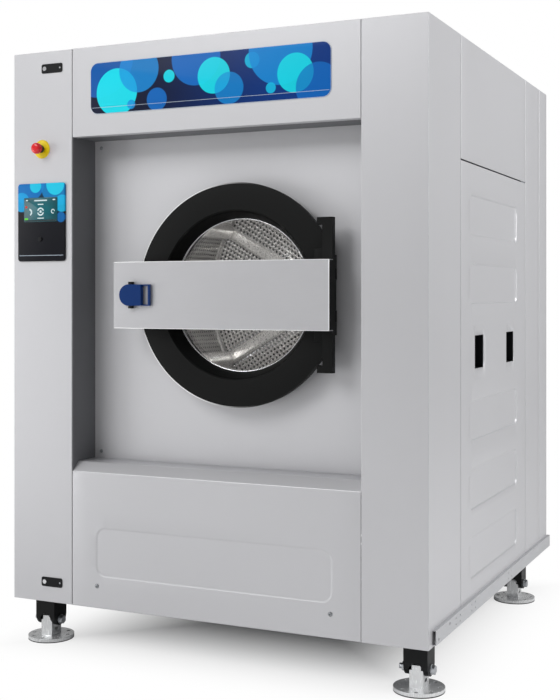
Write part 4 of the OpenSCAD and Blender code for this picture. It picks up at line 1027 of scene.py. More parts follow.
@dataclass
class SidePanels:
    """Side covers on both sides: flat sheets with folded edges, the middle one with soft pressed fields."""

    seams_y_mm: tuple[float, ...] = (315.0, 1143.0, 1366.0, 1490.0)
    seam_z_mm: float = 1547.0
    gap_mm: float = 4.0
    wall_mm: float = 2.0
    fold_mm: float = 1.6
    press_mm: float = 5.0
    slope_mm: float = 5.0
    corner_mm: float = 24.0
    field_y_mm: tuple[float, float] = (415.0, 1010.0)
    field_tops_mm: tuple[float, ...] = (1448.0, 1235.0, 809.0, 596.0, 383.0)
    field_h_mm: float = 128.0
    vents_y_mm: tuple[tuple[float, float], ...] = ((467.0, 568.0), (860.0, 961.0))
    vent_z_mm: tuple[float, float] = (906.0, 1010.0)
    foot_mm: float = 150.0
    top_mm: float = 1920.0
    fine_mm: float = 2.5
    near_mm: float = 30.0
    coarse_mm: float = 60.0

    def lines(
        self, low: float, high: float, starts: tuple[float, ...], ends: tuple[float, ...], cuts: tuple
    ) -> np.ndarray:
        """Returns a sheet's grid lines along one way, in mm.

        Args:
            low: The sheet's first edge.
            high: Its last edge.
            starts: Where pressed fields begin.
            ends: Where pressed fields end.
            cuts: Edges of the vents.

        Returns:
            Places in order: a few over each folded edge, close ones over the near_mm
            inside each field's edge, the vents' edges, and wide ones elsewhere.
        """
        fold = self.fold_mm * np.array([0.0, 0.08, 0.3, 0.6, 1.0])
        near = np.concatenate([np.arange(-1.0, self.near_mm, self.fine_mm), [self.near_mm + 2]])
        wide = np.arange(low + self.coarse_mm, high - self.coarse_mm / 2, self.coarse_mm)
        parts = [low + fold, high - fold, wide, np.ravel(np.array(cuts, float))]
        parts += [a + near for a in starts] + [b - near for b in ends]
        every = np.unique(np.concatenate(parts).round(3))
        every = every[(every >= low) & (every <= high)]
        keep = np.concatenate([[True], np.diff(every) > 0.05])
        return every[keep]

    def depth(
        self, y: np.ndarray, z: np.ndarray, ends: tuple[float, float, float, float], pressed: bool
    ) -> np.ndarray:
        """Returns how far each place lies behind the outer face, in mm.

        Args:
            y: Places along the depth.
            z: Heights.
            ends: The sheet's y0, y1, z0 and z1.
            pressed: The sheet has fields.

        Returns:
            The fold's depth at the distance to the sheet's nearest edge, plus the
            press depth times each field's share.
        """
        inside = np.minimum(np.minimum(y - ends[0], ends[1] - y), np.minimum(z - ends[2], ends[3] - z))
        deep = fold_depth(np.clip(inside, 0, self.fold_mm), self.fold_mm)
        for top in self.field_tops_mm if pressed else ():
            field = (*self.field_y_mm, top - self.field_h_mm, top)
            deep = deep + self.press_mm * press_share(y, z, field, self.corner_mm, self.slope_mm)
        return deep

    def sheet(
        self, name: str, side: int, ends: tuple[float, float, float, float], pressed: bool = False
    ) -> bpy.types.Object:
        """Builds one sheet of one side.

        Args:
            name: The piece's name.
            side: 1 for the right side and -1 for the left.
            ends: Its y0, y1, z0 and z1 in mm, with y from the cabinet's front.
            pressed: It has fields and vents.

        Returns:
            The sheet: a grid on the outer face with a wall behind it and the vents left open.
        """
        starts, stops, tops, vents_y, vents_z = (), (), (), (), ()
        if pressed:
            starts, stops, tops = self.field_y_mm[:1], self.field_y_mm[1:], self.field_tops_mm
            vents_y, vents_z = self.vents_y_mm, self.vent_z_mm
        ys = self.lines(ends[0], ends[1], starts, stops, vents_y)
        zs = self.lines(ends[2], ends[3], tuple(t - self.field_h_mm for t in tops), tops, vents_z)
        y, z = np.meshgrid(ys, zs, indexing="ij")
        outer = span("side_panels")[1][0]
        x = side * (outer - self.depth(y, z, ends, pressed) * MM)
        points = np.stack([x, low_front() + y * MM, z * MM], axis=-1).reshape(-1, 3)
        quads = np.array(grid_faces(len(ys), len(zs)))
        if side > 0:
            quads = quads[:, ::-1]
        if pressed:
            middle = points[quads].mean(axis=1)
            my, mz = (middle[:, 1] - low_front()) / MM, middle[:, 2] / MM
            open_z = (mz > self.vent_z_mm[0]) & (mz < self.vent_z_mm[1])
            open_y = np.any([(my > a) & (my < b) for a, b in self.vents_y_mm], axis=0)
            quads = quads[~(open_z & open_y)]
        return sheet_object(
            name, (points, quads.tolist()), PANEL_SILVER, "cabinet", self.wall_mm * MM, -1.0
        )

    def build(self) -> None:
        """Builds four sheets on each side."""
        a, b, c, d = self.seams_y_mm
        g, seam, low, high = self.gap_mm, self.seam_z_mm, self.foot_mm, self.top_mm
        for side, word in ((1, "right"), (-1, "left")):
            first = self.sheet(f"{word}_pressed_panel", side, (a, b - g, low, seam - g), True)
            self.sheet(f"{word}_upper_panel", side, (a, b - g, seam, high))
            self.sheet(f"{word}_middle_strip", side, (b, c - g, low, high))
            self.sheet(f"{word}_rear_strip", side, (c, d, low, high))
            if side > 0:
                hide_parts("side_panels")


@dataclass
class LowerFront:
    """Lower front cover: one sheet folded over the sill into the recess, with a soft pressed field.

    The field's two places across are distances from the sheet's left and right edge.
    """

    field_x_mm: tuple[float, float] = (89.0, 88.0)
    field_z_mm: tuple[float, float] = (249.0, 405.0)
    corner_mm: float = 35.0
    press_mm: float = 2.0
    slope_mm: float = 4.0
    sill_z_mm: tuple[float, float] = (577.0, 605.0)
    sill_run_mm: float = 31.0
    foot_mm: float = 150.0
    fold_mm: float = 1.6
    wall_mm: float = 2.0
    bend_mm: float = 3.5

    def build(self) -> None:
        """Builds the sheet: x runs across it, and its outline runs from the foot up the front, over the
        sloping sill and along the shelf. The field and the folded ends lie back as on the side sheets."""
        low, high = span("lower_front_panel")
        x0, x1 = low[0] / MM, high[0] / MM
        y0, y1 = low[1] / MM, high[1] / MM
        grid = SidePanels()
        left, right = x0 + self.field_x_mm[0], x1 - self.field_x_mm[1]
        xs = grid.lines(x0, x1, (left,), (right,), ())
        bends = rounded(
            np.array([
                [y0 + 40, self.foot_mm], [y0, self.foot_mm], [y0, self.sill_z_mm[0]],
                [y0 + self.sill_run_mm, self.sill_z_mm[1]], [y1, self.sill_z_mm[1]],
            ]),
            np.array([0, 3, 4, 4, 0]), 6,
        )
        foot_end, sill_start = self.foot_mm + self.bend_mm, self.sill_z_mm[0] - self.bend_mm
        rise = grid.lines(foot_end + 0.5, sill_start - 0.5, self.field_z_mm[:1], self.field_z_mm[1:], ())
        face = np.stack([np.full(len(rise), y0), rise], axis=1)
        foot = bends[:, 1] < foot_end
        path = np.concatenate([bends[foot], face, bends[~foot & (bends[:, 1] > sill_start)]])
        x, y = np.meshgrid(xs, path[:, 0], indexing="ij")
        z = np.broadcast_to(path[:, 1][None, :], x.shape)
        deep = fold_depth(np.clip(np.minimum(x - x0, x1 - x), 0, self.fold_mm), self.fold_mm)
        field = (left, right, *self.field_z_mm)
        deep = deep + self.press_mm * press_share(x, z, field, self.corner_mm, self.slope_mm)
        on_face = (z > foot_end) & (z < sill_start)
        y = y + np.where(on_face, deep, 0.0)
        points = np.stack([x, y, z], axis=-1).reshape(-1, 3) * MM
        faces = np.array(grid_faces(len(xs), len(path)))[:, ::-1].tolist()
        piece = sheet_object(
            "lower_front_sheet", (points, faces), PANEL_SILVER, "cabinet",
            self.wall_mm * MM, -1.0,
        )
        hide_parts("lower_front_panel")


def low_front() -> float:
    """Returns the y of the cabinet's front face."""
    return float(span("column_covers")[0][1])


@dataclass
class HeaderPrint:
    """Printed film on the header: bubbles on dark blue, with a thin pale line."""

    line_mm: float = 1.2
    line_share: float = 0.12
    corner_mm: float = 27.0
    rim_mm: float = 1.3

    def build(self) -> None:
        """Builds the film over the CAD node."""
        low, high = span("header_graphic")
        centre = (low + high) / 2
        size = high - low
        film = BubblePrint(
            "printed_header_film",
            "#071230",
            roughness=0.42,
            rough_spread=0.02,
            tone_spread=0.0,
            mark_mm=4.0,
            relief_mm=0.002,
            cloud_spread=0.0,
            specular=0.15,
            far_colour="#0A3A86",
            centre=(float(centre[0]), float(centre[2])),
            height=float(size[2]),
            reach=(-1.6, 2.2),
            discs=HEADER_DISCS,
        )
        outline = box_outline(low[0], low[2], high[0], high[2], self.corner_mm * MM, 10)
        shape = plate_points(outline, low[1], high[1], 0.6 * MM, 3)
        make_object("header_print", shape, film, "cabinet", ("header_graphic",))
        z = low[2] + self.line_share * size[2]
        line = box_outline(low[0] + 6 * MM, z, high[0] - 6 * MM, z + self.line_mm * MM, 0.4 * MM, 3)
        strip = plate_points(line, low[1] - 0.15 * MM, low[1] + 0.3 * MM, 0.05 * MM, 2)
        rim = rim_points(outline, self.rim_mm * MM, low[1] - 0.1 * MM, low[1] + 0.6 * MM)
        shape = join_parts([strip, rim])
        make_object("header_print_lines", shape, PRINT_PALE, "cabinet")


# Bubbles of the header's film, from its centre, as shares of its height
HEADER_DISCS = (
    Disc(-2.35, 0.60, 0.78, "#0B5FB4", 0.85),
    Disc(-1.95, -0.10, 0.46, "#12E2F2", 0.95),
    Disc(-1.45, 0.30, 0.44, "#1090E0", 0.75),
    Disc(-1.05, -0.30, 0.22, "#0E72CC", 0.8),
    Disc(-0.78, 0.12, 0.12, "#12E2F2", 0.9),
    Disc(-0.20, 0.42, 0.52, "#0E72CC", 0.85),
    Disc(0.18, 0.06, 0.34, "#12E2F2", 0.9),
    Disc(0.50, -0.20, 0.30, "#1090E0", 0.7),
    Disc(0.98, 0.28, 0.15, "#12C4EE", 0.85),
    Disc(1.55, 0.42, 0.64, "#1090E0", 0.85),
    Disc(1.85, -0.02, 0.36, "#12E2F2", 0.9),
    Disc(2.30, -0.30, 0.44, "#0E72CC", 0.75),
    Disc(1.36, -0.26, 0.10, "#12C4EE", 0.85),
    Disc(-1.62, -0.36, 0.09, "#1090E0", 0.85),
)
# Pale line and marks of the printed films
PRINT_PALE = Finish("pale_print_ink", "#B9C6D6", roughness=0.3, tone_spread=0.0, mark_mm=3.0, relief_mm=0.0)


@dataclass
class Feet:
    """Levelling feet, their brackets and bolts."""

    def build(self) -> None:
        """Dresses the feet."""
        dressed_copy("leg_brackets", BLACK_STEEL, "cabinet", Softening(edge_mm=1.5))
        dressed_copy("foot_stands", FOOT_STEEL, "cabinet", Softening(edge_mm=1.0))
        dressed_copy("foot_pads", RUBBER, "cabinet", Softening(edge_mm=0.5))
        dressed_copy("leg_bolts", ZINC, "cabinet", Softening(edge_mm=0.8))


@dataclass
class LoadingDoor:
    """Round loading door with its ring, glass, crossbar, hinge bar and handle."""

    steps: int = 144
    ring_out_mm: float = 342.0
    ring_in_mm: float = 258.5
    window_mm: float = 235.0
    body_mm: float = 289.0
    rim_mm: float = 16.0
    cut_mm: float = 296.0
    deep_mm: float = 61.0
    seat_mm: float = 262.0
    post_mm: tuple[float, float] = (278.0, 70.0)
    pad_mm: tuple[float, float] = (32.0, 137.0)
    glass_flat_mm: float = 150.0
    glass_rim_mm: float = 232.0
    glass_flange_mm: float = 258.0
    glass_wall_mm: float = 6.0
    # Width of the crossbar's painted highlight lines
    edge_line_mm: float = 1.9

    def __post_init__(self) -> None:
        """Reads the door's planes from the frame."""
        glass_low, glass_high = span("door_glass")
        self.x = float(glass_low[0] + glass_high[0]) / 2
        self.z = float(glass_low[2] + glass_high[2]) / 2
        self.back = float(span("door_ring")[1][1])
        self.front = self.back - self.deep_mm * MM
        self.glass_back = float(glass_high[1])

    def ring(self) -> None:
        """Builds the ring: its profile turned about the door's axis, with radii over the body's
        scaled down where the straight cut at the hinge side comes nearer than the rim."""
        f, b = self.front, self.back
        behind = f + self.rim_mm * MM
        corners = np.array([
            [self.ring_in_mm, f], [self.ring_out_mm, f], [self.ring_out_mm, behind], [self.body_mm, behind],
            [self.body_mm, b], [self.seat_mm, b], [self.seat_mm, b - 9 * MM],
            [self.window_mm, b - 9 * MM], [self.window_mm, b - 13 * MM], [252.5, f + 13 * MM],
            [257.0, f + 6 * MM],
        ])
        corners[:, 0] *= MM
        radii = np.array([2.0, 3.5, 2.0, 3.0, 3.0, 0.5, 0.5, 0.5, 1.5, 3.0, 1.5]) * MM
        profile = rounded(corners, radii, 6)
        turns = full_turn(self.steps)
        points = lathe_points(profile, 0.0, 0.0, turns)
        inner = self.body_mm * MM
        near = np.where(np.cos(turns) > 1e-3, self.cut_mm * MM / np.maximum(np.cos(turns), 1e-3), 9.0)
        reach = np.minimum(self.ring_out_mm * MM, near)
        radius = np.broadcast_to(profile[:, 0], points.shape[:2])
        share = (reach[:, None] - inner) / (self.ring_out_mm * MM - inner)
        scaled = np.where(radius > inner, inner + (radius - inner) * share, radius)
        points[..., 0] = self.x + scaled * np.cos(turns)[:, None]
        points[..., 2] = self.z + scaled * np.sin(turns)[:, None]
        faces = grid_faces(self.steps, len(profile), close_rows=True, close_cols=True)
        make_object("door_ring_body", (points, faces), DOOR_BLACK, "door", ("door_ring",))
        parts = [self.standoff(sx, sz) for sx in (-1, 1) for sz in (-1, 1)]
        make_object("door_standoffs", join_parts(parts), DOOR_BLACK, "door")
        cut = self.x + self.cut_mm * MM
        wide, half = self.pad_mm[0] * MM, self.pad_mm[1] * MM
        outline = box_outline(cut - wide, self.z - half, cut, self.z + half, 3 * MM, 5)
        shape = plate_points(outline, self.front - 5 * MM, self.front + 20 * MM, 1.5 * MM)
        make_object("hinge_side_pad", shape, DOOR_BLACK, "door")

    def standoff(self, side: int, up: int) -> Shape:
        """Builds one of the four posts that carry the crossbar.

        Args:
            side: -1 for the left posts and 1 for the right ones.
            up: -1 for the lower posts and 1 for the upper ones.

        Returns:
            Points and faces of a round post with a foot collar.
        """
        bar_back = float(span("door_crossbar")[1][1])
        y0, y1 = bar_back - 26 * MM, self.front + 1 * MM
        profile = np.array([
            [0, y0], [10 * MM, y0], [10 * MM, y1 - 4 * MM], [13 * MM, y1 - 2 * MM], [13 * MM, y1], [0, y1],
        ])
        across, rise = self.post_mm
        return turned(profile, self.x + side * across * MM, self.z + up * rise * MM, 32)

    def glass(self) -> None:
        """Builds the bowl: a flange, then a quarter ellipse towards a flat back, with an even wall."""
        flat, rim, wall = self.glass_flat_mm * MM, self.glass_rim_mm * MM, self.glass_wall_mm * MM
        edge = self.glass_flange_mm * MM
        flange = self.back - 3 * MM
        deep = self.glass_back - flange
        t = np.linspace(0, math.pi / 2, 20)
        outer = np.stack([flat + (rim - flat) * np.cos(t), flange + deep * np.sin(t)], axis=1)
        bore = rim - wall
        inner = np.stack([flat + (bore - flat) * np.cos(t), flange + (deep - wall) * np.sin(t)], axis=1)
        profile = np.concatenate([
            [[0, flange + deep]], outer[::-1],
            [[edge, flange], [edge, flange - wall], [bore, flange - wall]],
            inner, [[0, flange + deep - wall]],
        ])
        shape = turned(profile, self.x, self.z, self.steps)
        make_object(
            "door_glass_bowl", shape, DOOR_GLASS, "door", ("door_glass",),
            smooth_deg=50,
        )

    def bright_edge(self) -> None:
        """Builds the thin polished ring round the window's edge: a round section turned about the axis."""
        t = full_turn(12)
        y = self.back - 15 * MM
        r = (self.window_mm - 0.6) * MM
        profile = np.stack([r + 2.2 * MM * np.cos(t), y + 2.2 * MM * np.sin(t)], axis=1)
        shape = turned(profile, self.x, self.z, self.steps, ring=True)
        make_object("window_edge_ring", shape, NICKEL, "door")

    def ring_edge(self) -> None:
        """Builds the thin painted highlight along the ring's outer front edge: a round section turned about
        the axis, painted near-white on the side away from the hinge and fading to black towards it; it ends
        where the straight cut begins."""
        # Painted highlight: near-white on the side away from the hinge, fading to black towards it
        paint = BubblePrint(
            "bare_ring_edge", "#F2F2F3", roughness=0.3, tone_spread=0.0, mark_mm=3.0, relief_mm=0.0,
            cloud_spread=0.0, specular=0.3, far_colour="#0B0C0C", centre=(self.x, self.z),
            height=self.ring_out_mm * MM, reach=(-0.45, 0.25),
        )
        t = full_turn(10)
        r, y = (self.ring_out_mm - 1.7) * MM, self.front + 1.7 * MM
        profile = np.stack([r + 2.3 * MM * np.cos(t), y + 2.3 * MM * np.sin(t)], axis=1)
        end = math.acos(self.cut_mm / self.ring_out_mm) + 0.04
        points = lathe_points(profile, self.x, self.z, np.linspace(end, 2 * math.pi - end, self.steps))
        faces = grid_faces(self.steps, len(profile), close_cols=True)
        faces += end_caps(self.steps, len(profile))
        make_object("ring_highlight_line", (points, faces), paint, "door")

    def crossbar_edges(self) -> None:
        """Builds painted highlights on the crossbar: thin near-white lines along its top, its bottom and its
        hinge end.
        """
        low, high = span("door_crossbar")
        a, b = low / MM, high / MM
        wide = self.edge_line_mm
        lines = [
            block((a[0] + 2, a[1] - 0.2, b[2] - wide), (b[0] - 1, a[1] + 2, b[2] - 0.1), 0.3, 0.3),
            block((a[0] + 2, a[1] - 0.2, a[2] + 0.1), (b[0] - 1, a[1] + 2, a[2] + wide), 0.3, 0.3),
            block((b[0] - 3.2, a[1] - 0.2, a[2] + wide), (b[0] - 0.4, a[1] + 2, b[2] - wide), 0.3, 0.3),
        ]
        make_object("crossbar_highlight_lines", join_parts(lines), BARE_EDGE, "door")

    def build(self) -> None:
        """Builds the door."""
        self.ring()
        self.ring_edge()
        self.crossbar_edges()
        self.glass()
        self.bright_edge()
        dressed_copy("glass_clamp_ring", BRIGHT_RAIL, "door", Softening(edge_mm=0.4))
        bar = Softening(edge_mm=2.4, segments=4)
        dressed_copy("door_crossbar", BRUSHED_BAR, "door", bar)
        dressed_copy("door_hinge_bar", DOOR_BLACK, "door", Softening(edge_mm=1.6, segments=3))
        dressed_copy("handle_mounts", BLACK_PLASTIC, "door", Softening(edge_mm=0.8))
        dressed_copy("door_handle", HANDLE_BLUE, "handle", Softening(edge_mm=2.2, segments=3))
        dressed_copy("latch_bolt", GROUND_STEEL, "latch", Softening(edge_mm=0.8))
        dressed_copy("door_hinge_brackets", BLACK_STEEL, "cabinet", Softening(edge_mm=1.0))
        dressed_copy("lock_striker", BLACK_PLASTIC, "cabinet", Softening(edge_mm=1.5))


@dataclass
class ControlColumn:
    """Control door with its panel, screen, stop button and locks."""

    cap_mm: tuple[float, float] = (89.0, 71.0)
    cap_radius_mm: float = 7.0
    ribs: int = 12
    rib_share: float = 0.02

    def panel(self) -> None:
        """Builds the control panel: a film-covered plate with round corners, a port cap and a pale line."""
        low, high = span("control_panel")
        face = high[1] - 6 * MM
        centre = (low + high) / 2
        size = high - low
        film = BubblePrint(
            "printed_panel_film",
            "#12131A",
            roughness=0.38,
            rough_spread=0.02,
            tone_spread=0.0,
            mark_mm=4.0,
            relief_mm=0.002,
            cloud_spread=0.0,
            specular=0.15,
            far_colour="#12131A",
            centre=(float(centre[0]), float(high[2] - 0.28 * size[2])),
            height=float(size[0]),
            discs=PANEL_DISCS,
        )
        outline = box_outline(low[0], low[2], high[0], high[2], 10 * MM, 8)
        plate = plate_points(outline, face, high[1], 1.5 * MM, 4)
        make_object(
            "control_panel_plate", plate, film, "control_door", ("control_panel",)
        )
        cap = self.cap_radius_mm * MM
        corners = np.array([[0, low[1]], [cap, low[1]], [cap, face], [0, face]])
        profile = rounded(corners, np.array([0, 1.5, 0, 0]) * MM, 5)
        shape = turned(profile, low[0] + self.cap_mm[0] * MM, low[2] + self.cap_mm[1] * MM, 48)
        make_object("port_cap", shape, BLACK_PLASTIC, "control_door")
        z = low[2] + 18 * MM
        line = box_outline(low[0] + 6 * MM, z, high[0] - 6 * MM, z + 1.6 * MM, 0.4 * MM, 3)
        shape = plate_points(line, face - 0.15 * MM, face + 0.5 * MM, 0.05 * MM, 2)
        make_object("panel_print_line", shape, PRINT_PALE, "control_door")

    def screen(self) -> None:
        """Builds the touch screen and its plain signs: a dial arc, a round wheel, bars and buttons."""
        low, high = span("touch_screen")
        outline = box_outline(low[0], low[2], high[0], high[2], 3 * MM, 5)
        plate = plate_points(outline, low[1], high[1], 0.4 * MM, 3)
        wide, tall = high[0] - low[0], high[2] - low[2]
        lit = BubblePrint(
            "lit_teal_screen", "#08343C", roughness=0.25, rough_spread=0.02, tone_spread=0.0, mark_mm=4.0,
            relief_mm=0.0, cloud_spread=0.0, specular=0.4, far_colour="#08343C", soft=0.5,
            centre=(float(low[0] + wide / 2), float(low[2] + tall * 0.55)), height=float(tall),
            discs=(Disc(-0.3, 0.0, 0.5, "#0F6E78", 0.8), Disc(0.3, 0.0, 0.5, "#0F6E78", 0.8)),
        )
        make_object("screen_plate", plate, lit, "control_door", ("touch_screen",))

        def sign(u: float, v: float, outline: np.ndarray) -> Shape:
            """Returns an outline in mm as a thin raised print at the shares u and v of the screen."""
            placed = outline * MM + np.array([low[0] + u * wide, low[2] + v * tall])
            return plate_points(placed, low[1] - 0.12 * MM, low[1] + 0.3 * MM, 0.04 * MM, 2)

        def band(radius: float, width: float, start: float, end: float) -> np.ndarray:
            """Returns the outline of a part of a ring.

            Args:
                radius: The band's middle radius in mm.
                width: Its width in mm.
                start: Its first angle in degrees.
                end: Its last angle in degrees.

            Returns:
                (n, 2) points: along the outer arc and back along the inner one.
            """
            a = np.radians(np.linspace(start, end, 24))
            outer = np.stack([np.cos(a), np.sin(a)], axis=1) * (radius + width / 2)
            inner = np.stack([np.cos(a), np.sin(a)], axis=1) * (radius - width / 2)
            return np.concatenate([outer, inner[::-1]])

        def bar(width: float, height: float) -> np.ndarray:
            """Returns a bar with round corners about its centre."""
            return box_outline(-width / 2, -height / 2, width / 2, height / 2, min(width, height) * 0.3, 4)

        pale = [
            sign(0.5, 0.88, bar(50, 4)), sign(0.5, 0.72, bar(22, 3.4)),
            sign(0.5, 0.42, band(11, 4.5, 15, 165)), sign(0.5, 0.42, band(11, 4.5, 195, 345)),
            sign(0.5, 0.42, bar(8, 8)), sign(0.5, 0.15, bar(26, 3)),
            sign(0.15, 0.40, band(10, 5, -60, 80)), sign(0.87, 0.42, band(6, 3, 0, 300)),
            sign(0.09, 0.90, bar(8, 4)), sign(0.90, 0.90, bar(10, 4)),
        ]
        signs = (
            ("screen_signs_pale", SIGN_PALE, join_parts(pale)),
            ("screen_sign_green", SIGN_GREEN, sign(0.07, 0.13, bar(14, 6))),
            ("screen_sign_red", SIGN_RED, sign(0.07, 0.62, bar(8, 7))),
            ("screen_sign_bar", SIGN_DARK, sign(0.5, 0.05, bar(122, 5))),
        )
        for name, finish, shape in signs:
            make_object(name, shape, finish, "control_door")

    def stop_button(self) -> None:
        """Builds the red mushroom head: the profile turned, with twelve shallow grip ribs round it,
        where the rim's radius is r * (1 - 0.01 * (1 + cos 12 a)), and its collar and plunger."""
        low, high = span("estop_head")
        x, z = float(low[0] + high[0]) / 2, float(low[2] + high[2]) / 2
        front, back = float(low[1]), float(high[1])
        r = float(high[0] - low[0]) / 2
        corners = np.array([
            [0, front], [r * 0.5, front + 0.3 * MM], [r * 0.86, front + 2.5 * MM], [r, front + 9 * MM],
            [r, front + 16 * MM], [r - 3 * MM, front + 20 * MM], [r - 6 * MM, back], [0, back],
        ])
        radii = np.array([0, 10, 8, 4, 2, 3, 0.5, 0]) * MM
        profile = rounded(corners, radii, 6)
        turns = full_turn(96)
        points = lathe_points(profile, 0.0, 0.0, turns)
        rim = np.clip((profile[:, 0] - r * 0.8) / (r * 0.2), 0, 1)
        scale = 1 - self.rib_share * (1 + np.cos(self.ribs * turns))[:, None] * rim[None, :] / 2
        points[..., 0] = points[..., 0] * scale + x
        points[..., 2] = points[..., 2] * scale + z
        faces = grid_faces(96, len(profile), close_rows=True)
        make_object("stop_head", (points, faces), STOP_RED, "stop_head", ("estop_head",))
        dressed_copy("estop_collar", STOP_YELLOW, "control_door", Softening(edge_mm=0.6))
        dressed_copy("estop_plunger", STEM_GREY, "stop_plunger", Softening(edge_mm=0.6))

    def build(self) -> None:
        """Builds the column."""
        fold = Softening(edge_mm=1.4, segments=3)
        dressed_copy("control_door_panel", PANEL_SILVER, "control_door", fold)
        self.panel()
        self.screen()
        self.stop_button()
        dressed_copy("lock_plates", BLACK_PLASTIC, "control_door", Softening(edge_mm=0.5))
        low, high = span("lock_plates")
        profile = np.array([[0, -0.6], [2.2, -0.6], [3, 0.2], [0, 1]]) * MM + np.array([0, low[1]])
        rivets = [
            turned(profile, high[0] - 9 * MM, z, 24) for z in (low[2] + 15 * MM, high[2] - 15 * MM)
        ]
        make_object("lock_plate_rivets", join_parts(rivets), ZINC, "control_door")
        dressed_copy("upper_lock", NICKEL, "top_lock", Softening(edge_mm=0.5))
        dressed_copy("lower_lock", NICKEL, "bottom_lock", Softening(edge_mm=0.5))
        dressed_copy("control_door_hinges", FOOT_STEEL, "cabinet", Softening(edge_mm=0.5))


# Bubbles of the panel's film, from a point at 72 % of its height, as shares of its width
PANEL_DISCS = (
    Disc(0.0, 0.48, 0.72, "#06344F", 0.9),
    Disc(-0.32, 0.44, 0.40, "#0878C8", 0.85),
    Disc(0.36, 0.34, 0.36, "#0C86CC", 0.8),
    Disc(-0.42, 0.06, 0.17, "#14A6E4", 0.85),
    Disc(0.44, 0.02, 0.15, "#14B8E8", 0.85),
    Disc(0.30, 0.36, 0.19, "#20D8F4", 0.8),
    Disc(-0.12, 0.34, 0.12, "#20D8F4", 0.75),
    Disc(0.42, -0.22, 0.09, "#0878C8", 0.7),
)


def lit_sign(name: str, colour: str) -> Finish:
    """Returns the even finish of a sign on the lit screen."""
    return Finish(name, colour, roughness=0.3, tone_spread=0.0, mark_mm=4.0, relief_mm=0.0)


# Signs of the lit screen: pale ones, a green and a red button, and the dark bar at its foot
SIGN_PALE = lit_sign("pale_screen_sign", "#D8ECEE")
SIGN_GREEN = lit_sign("green_screen_sign", "#58D62A")
SIGN_RED = lit_sign("red_screen_sign", "#D8261C")
SIGN_DARK = lit_sign("dark_screen_bar", "#062A30")


